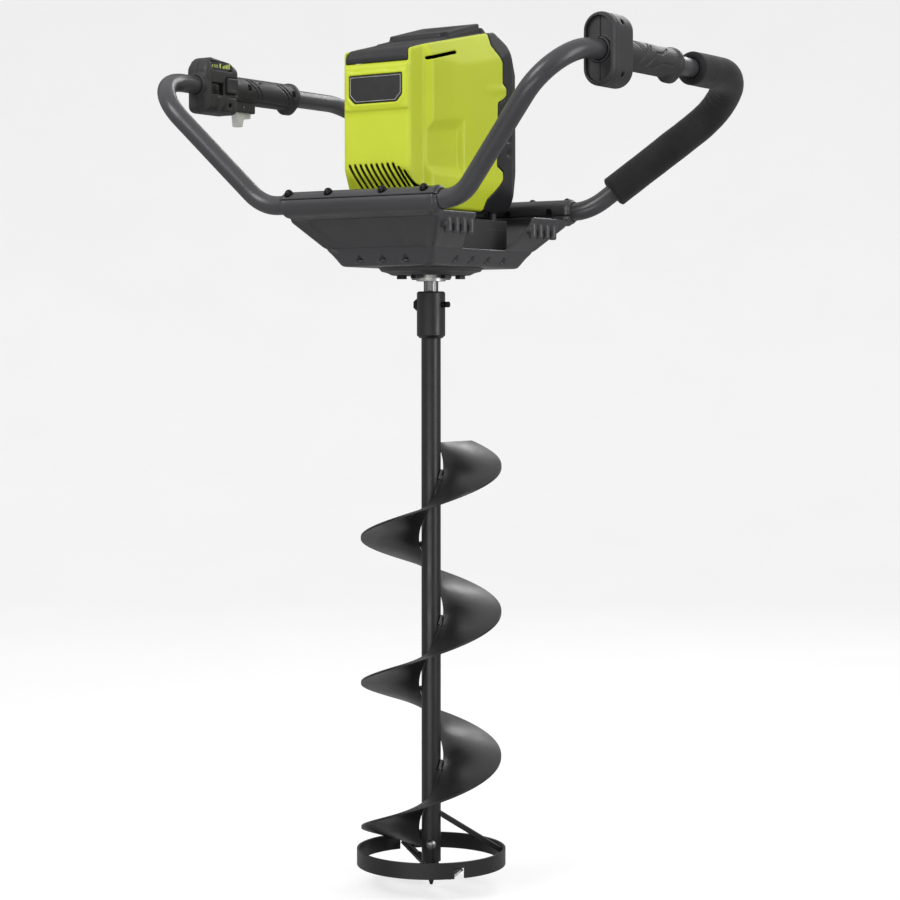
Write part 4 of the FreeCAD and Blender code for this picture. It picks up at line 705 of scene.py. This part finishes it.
def drain_nicks(field, outer):
    """Rows of small three-sided nicks low on the four walls."""
    wide, deep = tray_halves(field.z, 0.0)
    for along, depth, count in ((field.x, deep - np.abs(field.y), 3), (field.y, wide - np.abs(field.x), 4)):
        for k in range(count):
            a = 38.0 * (k - (count - 1) / 2)
            nick = rounded_polygon(along, field.z, ((a - 8, 858), (a + 6, 858), (a, 869)), 1.0)
            outer = carve(outer, np.maximum(nick, depth * 0.8 - 2.6), 1.0)
    return outer


def make_tray():
    """The dark cradle: a hollow dish with open ends, two rims for the tubes and the carrier's bolt holes."""
    field = Field((-132, -196, 849), (150, 196, 956), 1.25)
    outer = meet(dish(field, 0.0, 12.0), 853.0 - field.z, 4.0)
    outer = meet(outer, field.z - 922.0, 2.0)
    outer = press_walls(field, outer)
    outer = drain_nicks(field, outer)
    outer = carve(outer, np.maximum(np.abs(field.z - 876.5) - 1.0, -(outer + 1.4)), 1.0)
    for y in (76.0, 93.0, 110.0, 127.0):
        for side in (-1, 1):
            outer = join(outer, field.rod("z", (116.5, side * y), 5.6, (893, 921), 2.0), 2.0)
    inner = np.maximum(dish(field, 5.2, 9.0), 857.0 - field.z)
    form = carve(outer, inner, 1.5)
    mouth = ((-52, 878), (52, 878), (66, 894), (74, 990), (-74, 990), (-66, 894))
    form = carve(form, rounded_polygon(field.y, field.z, mouth, 8.0), 3.0)
    for side in (-1, 1):
        low, high = RIM_ENDS[side]
        web = field.box((low + 4, min(high, 123) - 1), span(side, 157, 172), (914, 930), 2.0)
        form = join(form, web, 4.0)
        rim = rim_form(field, side)
        form = join(form, np.maximum(rim, strip_side(field, side) + 0.25), 5.0)
        form = np.maximum(form, -np.maximum(rim - 0.6, -strip_side(field, side) - 0.25))
        form = cut(form, field.rod("x", (side * RIM_Y, RIM_Z), TUBE_WAY, THROUGH))
    form = cut(form, field.rod("z", (0, 0), 25.2, (840, 880)))
    for k in range(6):
        turn = math.radians(35 + 60 * k)
        form = cut(form, field.rod("z", (40 * math.cos(turn), 40 * math.sin(turn)), 3.1, (840, 880)))
    field.piece("tray_body", form, "support_tray")


def make_clamps():
    """The strips that close the rims over the tubes."""
    for side, name in ((-1, "near"), (1, "far")):
        low, high = span(side, 156.0, 192.0)
        field = Field((-120, low, 926), (146, high, 956), 0.8)
        form = meet(rim_form(field, side), -strip_side(field, side) + 0.25, 0.8)
        form = cut(form, field.rod("x", (side * RIM_Y, RIM_Z), TUBE_WAY, THROUGH))
        up = screw_way(side)
        for x in SCREW_LINE[side]:
            base = Vector((x, side * RIM_Y, RIM_Z))
            form = cut(form, field.stroke(base, base + up * 40, 2.35))
            form = carve(form, field.stroke(base + up * 17.4, base + up * 30, 6.6), 0.8)
        for x in LOCK_LINE[side]:
            base = Vector((x, side * RIM_Y, RIM_Z))
            form = cut(form, field.stroke(base, base - Vector((0, side * 30.0, 0)), 2.35))
        field.piece("clamp_strip_" + name, form, "tube_clamps")


# ------------------------------------------------------------------ handles

LEFT = -326.0
RIGHT = 342.0
BAR = 1113.0


def grip_form(field, x, start, finish):
    """A hand grip along y with a raised end flange and a finger stop below it."""
    barrel = field.rod("y", (x, BAR), 19.5, (start, finish), 1.0)
    flange = field.rod("y", (x, BAR), 20.8, (finish - 9, finish), 3.0)
    stop = field.rod("y", (x, BAR - 14.5), 11.4, (finish - 19, finish - 0.2), 4.0)
    return join(join(barrel, flange, 4.0), stop, 5.0)


def engrave(field, form, x, lines, width, depth):
    """Cuts grooves drawn in the side view into both flanks of a grip."""
    round_way = np.hypot(field.x - x, field.z - BAR)
    for line in lines:
        groove = track(field.y, field.z, [(y, BAR + z) for y, z in line]) - width
        form = carve(form, np.maximum(groove, 19.5 - depth - round_way), 0.7)
    return form


# Grooves in the grips' side view, heights counted from the bar's axis.
LEFT_GROOVES = ([(-16, 15), (-2, 2), (8, -14)], [(-8, 17), (6, 4), (16, -12)], [(-1, 2), (5, 9), (14, 13)],
                [(54, 14), (68, 2), (80, -12)], [(63, 15), (76, 3), (87, -10)], [(-28, -13), (78, -15)])
RIGHT_GROOVES = ([(-60, 17), (-42, 2), (-54, -14)], [(-24, 17), (-42, 2)], [(4, 6), (-12, 6), (-34, -13)],
                 [(4, 6), (22, 14)], [(-14, -14), (4, -6), (30, -6)], [(-50, 17), (-34, 3), (-20, 14)])


def left_box(field, x, y, z, r):
    """A box on the left handle, its x and z counted from the bar's axis."""
    return field.box((LEFT + x[0], LEFT + x[1]), y, (BAR + z[0], BAR + z[1]), r)


def side_outline(field, points, r):
    """An outline in the side view of the left handle, its heights counted from the bar's axis."""
    return rounded_polygon(field.y, field.z, [(y, BAR + z) for y, z in points], r)


def switch_form(field):
    """The switch body: a rounded block with a hump that carries the display."""
    across = np.abs(field.x - LEFT)
    main = left_box(field, (-20.5, 20.5), (-109, -40), (-38.5, 30), 9.5)
    outline = ((-106, 10), (-104, 34), (-96, 40), (-54, 35), (-42, 16))
    hump = meet(side_outline(field, outline, 3.0), across - 16.5, 5.0)
    body = join(main, hump, 7.0)
    collar = field.rod("y", (LEFT, BAR), 17.0, (-113, -100), 2.5)
    return join(body, collar, 3.0)


LEDGE = ((-88, -16), (-84, -16), (-62, -11), (-46, -11), (-46, -14), (-62, -14), (-84, -36), (-88, -36))
GRIP_SCREWS = ((-15, 3), (86, 3))
RECESSES = (
    ((-16, 16), (-103, -46), (-34, -14), 2.0, 0.6),  # room for the trigger's switch
    ((-13, 13), (-97, -56), (14.5, 33), 2.0, 0.6),  # room behind the display
    ((-8, 8), (-48, 6), (-60, -14), 1.0, 0.8),  # the trigger's slot
    ((13.6, 40), (-99.2, -54.8), (21.8, 34.2), 1.0, 1.0),  # the display's window
    ((12, 40), (-100, -75), (-12, 4), 0.8, 0.8),  # the direction slider's slot
    ((12, 40), (-70, -46), (-10, 13), 1.2, 0.8),  # the lock-off button's well
)


def control_form(field):
    """Switch body and grip in one, with everything that is cut into them."""
    body = join(switch_form(field), grip_form(field, LEFT, -42, 100), 4.0)
    pad = left_box(field, (10, 21.8), (-73, -50), (-36, -15), 2.0)
    body = join(body, pad, 1.2)
    ledge = side_outline(field, LEDGE, 0.5)
    body = join(body, np.maximum(ledge, np.abs(field.x - LEFT) - 21.4), 1.0)
    seam = np.abs(field.y + 96) - 0.5
    body = carve(body, np.maximum(seam, -(body + 0.9)), 0.5)
    body = engrave(field, body, LEFT, LEFT_GROOVES, 1.1, 1.5)
    for y, z in GRIP_SCREWS:
        body = carve(body, left_box(field, (15.6, 40), (y - 4, y + 4), (z - 4, z + 4), 1.0), 0.6)
    for x, y, z, corner, rim in RECESSES:
        body = carve(body, left_box(field, x, y, z, corner), rim)
    for y, z, seat, length in [(-62, -26, 16.5, 34)] + [(y, z, 15.4, 6) for y, z in GRIP_SCREWS]:
        body = cut(body, field.rod("x", (y, BAR + z), 1.7, (LEFT + seat - length - 1, LEFT + seat + 1)))
        body = carve(body, field.rod("x", (y, BAR + z), 3.3, (LEFT + seat, LEFT + 60)), 0.6)
    return cut(body, field.rod("y", (LEFT, BAR), TUBE_WAY, THROUGH))


def make_control_handle():
    """The left handle's two halves, which meet in the plane of the bar."""
    for side, node in ((1, "control_handle_inner"), (-1, "control_handle_outer")):
        low, high = sorted((LEFT - side * 3, LEFT + side * 26))
        field = Field((low, -118, BAR - 42), (high, 104, BAR + 44), 0.6)
        form = control_form(field)
        form = np.maximum(form, (LEFT - field.x) * side)
        field.piece(node.replace("control", "switch"), form, node)


TRIGGER_PIN = (-20, BAR - 24)


def make_guard():
    """The two cheeks under the grip that the trigger swings between."""
    field = Field((LEFT - 14, -43, BAR - 35), (LEFT + 14, 10, BAR - 4), 0.4)
    form = left_box(field, (-11, 11), (-39.3, 7), (-32, -8), 2.2)
    form = carve(form, left_box(field, (-8.2, 8.2), (-80, 4.2), (-60, 10), 1.0), 0.8)
    form = cut(form, field.rod("y", (LEFT, BAR), 19.7, THROUGH))
    form = cut(form, field.rod("x", TRIGGER_PIN, 1.7, THROUGH))
    field.piece("trigger_cheeks", form, "trigger_guard")


TRIGGER_SIDE = ((-30, -17), (-24, -16), (-14, -20), (-12, -28), (3, -28), (2, -39), (-13, -40), (-16, -52),
                (-26, -52), (-28, -34))


def make_trigger():
    """The light grey finger lever, hollowed from both sides."""
    field = Field((LEFT - 8, -33, BAR - 55), (LEFT + 8, 6, BAR - 13), 0.35)
    form = meet(side_outline(field, TRIGGER_SIDE, 1.4), np.abs(field.x - LEFT) - 6.0, 1.4)
    pocket = side_outline(field, ((-10, -31), (0, -31), (0, -36), (-11, -37)), 1.0)
    form = carve(form, np.maximum(pocket, 4.6 - np.abs(field.x - LEFT)), 0.5)
    form = cut(form, field.rod("x", TRIGGER_PIN, 1.6, THROUGH))
    field.piece("trigger_lever", form, "throttle_trigger")


def make_buttons():
    """The lock-off button and the direction slider."""
    field = Field((LEFT + 15, -72, BAR - 12), (LEFT + 28, -44, BAR + 15), 0.35)
    form = left_box(field, (17.5, 24.4), (-69.5, -46.5), (-9.5, 12.5), 2.2)
    form = carve(form, left_box(field, (23.9, 30), (-66, -50), (-6, 9), 2.0), 0.6)
    field.piece("lock_button_cap", form, "lock_off_button")
    field = Field((LEFT + 12, -100, BAR - 14), (LEFT + 24, -80, BAR + 6), 0.35)
    form = left_box(field, (14.5, 18.5), (-97.8, -83.2), (-11.4, 3.4), 1.0)
    nib = left_box(field, (16, 22), (-93, -87), (-8, 0), 1.4)
    form = join(form, nib, 1.0)
    field.piece("selector_slider", form, "direction_selector")


def make_display():
    """A dark glossy window with a plain bar gauge on it."""
    field = Field((LEFT + 12, -101, BAR + 20), (LEFT + 18, -53, BAR + 36), 0.3)
    form = left_box(field, (13.7, 16.1), (-98.8, -55.2), (22.2, 33.8), 0.6)
    field.piece("display_glass", form, "display_window")
    bars = [(-95, 2, 25.4, 4), (-91, 9, 28.4, 1.2), (-91, 9, 26, 1.2), (-79, 3, 25.4, 6.6)]
    bars += [(-72 + 3.4 * k, 2.4, 25.4, 4 + 0.9 * k) for k in range(5)]
    field = Field((LEFT + 15.0, -98, BAR + 23), (LEFT + 17.4, -53, BAR + 33), 0.25)
    form = None
    for start, wide, low, tall in bars:
        bar = left_box(field, (15.7, 16.45), (start, start + wide), (low, low + tall), 0.15)
        form = bar if form is None else np.minimum(form, bar)
    glow = field.piece("display_gauge", form, "display_window")
    glow.data.materials.clear()
    glow.data.materials.append(GAUGE)


def guard_form(field):
    """The oval hand guard round the right bar."""
    middle = np.clip(field.z, BAR - 22, BAR + 24)
    a = np.hypot(field.x - RIGHT, field.z - middle) - 23.0 + 8.0
    b = np.abs(field.y + 102) - 27.0 + 8.0
    form = np.hypot(np.maximum(a, 0), np.maximum(b, 0)) + np.minimum(np.maximum(a, b), 0) - 8.0
    cup = np.hypot(field.x - RIGHT, field.z - middle) - 17.5
    form = carve(form, np.maximum(cup, field.y + 122.0), 1.8)
    form = join(form, field.rod("y", (RIGHT, BAR), 16.4, (-126, -100), 1.5), 1.5)
    rib = np.abs(field.y + 116.0) - 0.7
    form = carve(form, np.maximum(rib, -(form + 0.9)), 0.6)
    for z in (34, -30):
        form = cut(form, field.rod("x", (-102, BAR + z), 1.7, (RIGHT - 12, RIGHT + 18)))
        form = carve(form, field.rod("x", (-102, BAR + z), 3.3, (RIGHT + 12, RIGHT + 60)), 0.8)
    return cut(form, field.rod("y", (RIGHT, BAR), TUBE_WAY, THROUGH))


def make_right_handle():
    """The right handle: a guard in two halves and a grip behind it."""
    for side, node in ((1, "right_guard_outer"), (-1, "right_guard_inner")):
        low, high = sorted((RIGHT - side * 3, RIGHT + side * 27))
        field = Field((low, -134, BAR - 49), (high, -70, BAR + 51), 0.7)
        form = np.maximum(guard_form(field), (RIGHT - field.x) * side)
        field.piece(node.replace("right", "hand"), form, node)
    field = Field((RIGHT - 26, -80, BAR - 29), (RIGHT + 26, 62, BAR + 26), 0.65)
    form = grip_form(field, RIGHT, -74.6, 58)
    form = engrave(field, form, RIGHT, RIGHT_GROOVES, 1.0, 1.4)
    form = cut(form, field.rod("y", (RIGHT, BAR), TUBE_WAY, THROUGH))
    field.piece("hand_grip", form, "right_grip")


# ------------------------------------------------------------------ foam sleeve


def bent_path(corners, bend, step):
    """Points along a line through three corners, its middle corner rounded to bend."""
    a, b, c = (Vector(corner) for corner in corners)
    u = (a - b).normalized()
    v = (c - b).normalized()
    half = u.angle(v) / 2
    back = bend / math.tan(half)
    centre = b + (u + v).normalized() * (bend / math.sin(half))
    start, finish = b + u * back, b + v * back
    sweep = math.pi - 2 * half
    points = [a.lerp(start, t) for t in np.linspace(0, 1, max(2, int((start - a).length / step)))]
    arm = start - centre
    axis = arm.cross(finish - centre).normalized()
    for t in np.linspace(0, 1, int(bend * sweep / step))[1:]:
        points.append(centre + Matrix.Rotation(sweep * t, 3, axis) @ arm)
    points += [finish.lerp(c, t) for t in np.linspace(0, 1, max(2, int((c - finish).length / step)))[1:]]
    return points, axis, centre


FOAM_OUTSIDE, FOAM_BORE, FOAM_LIP = 22.2, 13.1, 4.4
FOAM_LIMIT = 22.9  # its surface never stands further from the tube's axis than this
AROUND = 72


def foam_radius(place, way, toward, travelled, from_end, bend_near):
    """Radius of the sleeve's outside: a rounded lip, creases inside the bend and a little unevenness."""
    r = FOAM_OUTSIDE
    if from_end < FOAM_LIP:
        r -= FOAM_LIP - math.sqrt(max(0.0, FOAM_LIP ** 2 - (FOAM_LIP - from_end) ** 2))
    inside = max(0.0, way.dot(toward)) ** 2
    crease = math.sin(travelled * 0.42 + 1.2 * mnoise.noise(place * 0.03))
    r += 0.55 * crease * inside * bend_near
    r += 0.45 * mnoise.noise(place * 0.035) + 0.16 * mnoise.noise(place * 0.12)
    return min(r, FOAM_LIMIT)


def grid_quads(rows, columns):
    """Faces of a grid of points that closes on itself both ways."""
    faces = []
    for row in range(rows):
        here, following = row * columns, (row + 1) % rows * columns
        for j in range(columns):
            side = (j + 1) % columns
            faces.append((here + j, here + side, following + side, following + j))
    return np.array(faces, dtype=np.int32)


def make_foam():
    """Foam sleeve: a soft tube that creases a little inside its bend, with rounded open ends."""
    corner = (RIGHT, 298, BAR)
    foot = Vector(corner).lerp(Vector((147, RIM_Y, RIM_Z)), 0.86)
    points, axis, centre = bent_path(((RIGHT, 109, BAR), corner, foot), 68.0, 2.0)
    count = len(points)
    middle = points[count // 2]
    travelled = [0.0]
    for a, b in zip(points, points[1:]):
        travelled.append(travelled[-1] + (b - a).length)
    surface = []
    for k, outside in [(k, True) for k in range(count)] + [(k, False) for k in reversed(range(count))]:
        ahead = (points[min(k + 1, count - 1)] - points[max(k - 1, 0)]).normalized()
        up = ahead.cross(axis).normalized()
        toward = (centre - points[k]).normalized()
        from_end = min(travelled[k], travelled[-1] - travelled[k])
        bend_near = max(0.0, 1.0 - (points[k] - middle).length / 90.0)
        for j in range(AROUND):
            turn = 2 * math.pi * j / AROUND
            way = axis * math.cos(turn) + up * math.sin(turn)
            if outside:
                place = points[k] + way * FOAM_OUTSIDE
                r = foam_radius(place, way, toward, travelled[k], from_end, bend_near)
            else:
                r = FOAM_BORE + 0.35 * max(0.0, FOAM_LIP - from_end)
            surface.append(tuple(points[k] + way * r))
    quads = grid_quads(2 * count, AROUND)
    no_tris = np.zeros((0, 3), dtype=np.int32)
    stand_in("foam_cover", np.array(surface, dtype=np.float32) * MM, no_tris, quads, "foam_sleeve")


make_front_shell()
make_top_cover()
make_rear_shell()
make_battery()
make_latch()
make_badge()
make_tray()
make_clamps()
make_control_handle()
make_guard()
make_trigger()
make_buttons()
make_display()
make_right_handle()
make_foam()

# ------------------------------------------------------------------ stage

CAMERA_AZIMUTH = math.radians(34.7)
AWAY = Vector((math.sin(CAMERA_AZIMUTH), -math.cos(CAMERA_AZIMUTH), 0))  # from the object to the camera
ACROSS = Vector((math.cos(CAMERA_AZIMUTH), math.sin(CAMERA_AZIMUTH), 0))  # the camera's right
UP = Vector((0, 0, 1))
CAMERA_DISTANCE = 3.16
CAMERA_HEIGHT = 0.747
CAMERA_PITCH = math.radians(-2.6)
CAMERA_LENS = 92.0
CAMERA_SIDE = 0.026


def add_camera():
    """A long lens a little below the powerhead, turned towards the front right corner."""
    data = bpy.data.cameras.new("camera")
    data.lens = CAMERA_LENS
    data.sensor_width = 36.0
    camera = bpy.data.objects.new("camera", data)
    bpy.context.scene.collection.objects.link(camera)
    camera.location = AWAY * CAMERA_DISTANCE + ACROSS * CAMERA_SIDE + UP * CAMERA_HEIGHT
    ahead = -AWAY * math.cos(CAMERA_PITCH) + UP * math.sin(CAMERA_PITCH)
    camera.rotation_euler = ahead.to_track_quat("-Z", "Y").to_euler()
    bpy.context.scene.camera = camera


def add_light(name, place, target, size, power):
    data = bpy.data.lights.new(name, "AREA")
    data.shape = "RECTANGLE"
    data.size, data.size_y = size
    data.energy = power
    lamp = bpy.data.objects.new(name, data)
    bpy.context.scene.collection.objects.link(lamp)
    lamp.location = place
    lamp.rotation_euler = (Vector(target) - Vector(place)).to_track_quat("-Z", "Y").to_euler()


def add_floor():
    """Plain pale floor that curves up behind into a backdrop."""
    half, rise, radius, steps = 7.0, 6.0, 2.5, 12
    curve_start = 3.5
    profile = [(-half, 0.0)]
    for k in range(steps + 1):
        turn = math.pi / 2 * k / steps
        profile.append((curve_start + radius * math.sin(turn), radius * (1 - math.cos(turn))))
    profile.append((curve_start + radius, rise))
    made = bmesh.new()
    rows = []
    for depth, height in profile:
        low = -AWAY * depth + UP * (height - 0.0005)
        rows.append([made.verts.new(low - ACROSS * half), made.verts.new(low + ACROSS * half)])
    for a, b in zip(rows, rows[1:]):
        made.faces.new((a[0], a[1], b[1], b[0]))
    mesh = bpy.data.meshes.new("floor")
    made.to_mesh(mesh)
    made.free()
    mesh.shade_smooth()
    mesh.materials.append(floor_finish())
    floor = bpy.data.objects.new("floor", mesh)
    bpy.context.scene.collection.objects.link(floor)


def floor_finish():
    """Matt pale grey that glows a little, for the camera only, so that it reads as white paper."""
    look = Look("studio_floor")
    look.link(look.ramp(look.noise(3, 3), "Fac", 0.34, 0.36, 0.3, 0.7), "Color", look.bsdf, "Base Color")
    look.set(Roughness=0.85)
    look.bsdf.inputs["Emission Color"].default_value = (1.0, 1.0, 1.0, 1.0)
    glow = look.add("ShaderNodeMath", operation="MULTIPLY")
    look.link(look.add("ShaderNodeLightPath"), "Is Camera Ray", glow, 0)
    glow.inputs[1].default_value = 0.62
    look.link(glow, "Value", look.bsdf, "Emission Strength")
    return look.mat


def add_sky():
    """A white sky, brighter overhead, that the camera always sees at one pale level."""
    world = bpy.data.worlds.new("studio")
    world.use_nodes = True
    tree = world.node_tree
    sky = tree.nodes["Background"]
    sky.inputs["Color"].default_value = (1.0, 1.0, 1.0, 1.0)
    place = tree.nodes.new("ShaderNodeTexCoord")
    split = tree.nodes.new("ShaderNodeSeparateXYZ")
    fade = tree.nodes.new("ShaderNodeMapRange")
    for name, value in (("From Min", -0.5), ("From Max", 0.9), ("To Min", 0.25), ("To Max", 0.95)):
        fade.inputs[name].default_value = value
    seen = tree.nodes.new("ShaderNodeLightPath")
    pale = tree.nodes.new("ShaderNodeMath")
    pale.operation = "MULTIPLY"
    pale.inputs[1].default_value = 0.93
    brighter = tree.nodes.new("ShaderNodeMath")
    brighter.operation = "MAXIMUM"
    tree.links.new(place.outputs["Generated"], split.inputs["Vector"])
    tree.links.new(split.outputs["Z"], fade.inputs["Value"])
    tree.links.new(seen.outputs["Is Camera Ray"], pale.inputs[0])
    tree.links.new(fade.outputs["Result"], brighter.inputs[0])
    tree.links.new(pale.outputs["Value"], brighter.inputs[1])
    tree.links.new(brighter.outputs["Value"], sky.inputs["Strength"])
    bpy.context.scene.world = world


def add_lights():
    aim = (0, 0, 0.8)
    add_light("key", AWAY * 1.8 - ACROSS * 1.9 + UP * 2.6, aim, (1.4, 1.4), 44)
    add_light("fill", AWAY * 1.6 + ACROSS * 2.4 + UP * 1.3, aim, (1.2, 2.0), 34)
    add_light("low", AWAY * 1.9 - ACROSS * 0.7 + UP * 0.15, (0, 0, 0.85), (1.6, 0.5), 11)
    add_light("rim", -AWAY * 2.0 + ACROSS * 1.2 + UP * 2.4, aim, (1.6, 0.8), 22)
    bpy.context.scene.view_settings.view_transform = "Standard"


add_floor()
add_sky()
add_lights()
add_camera()
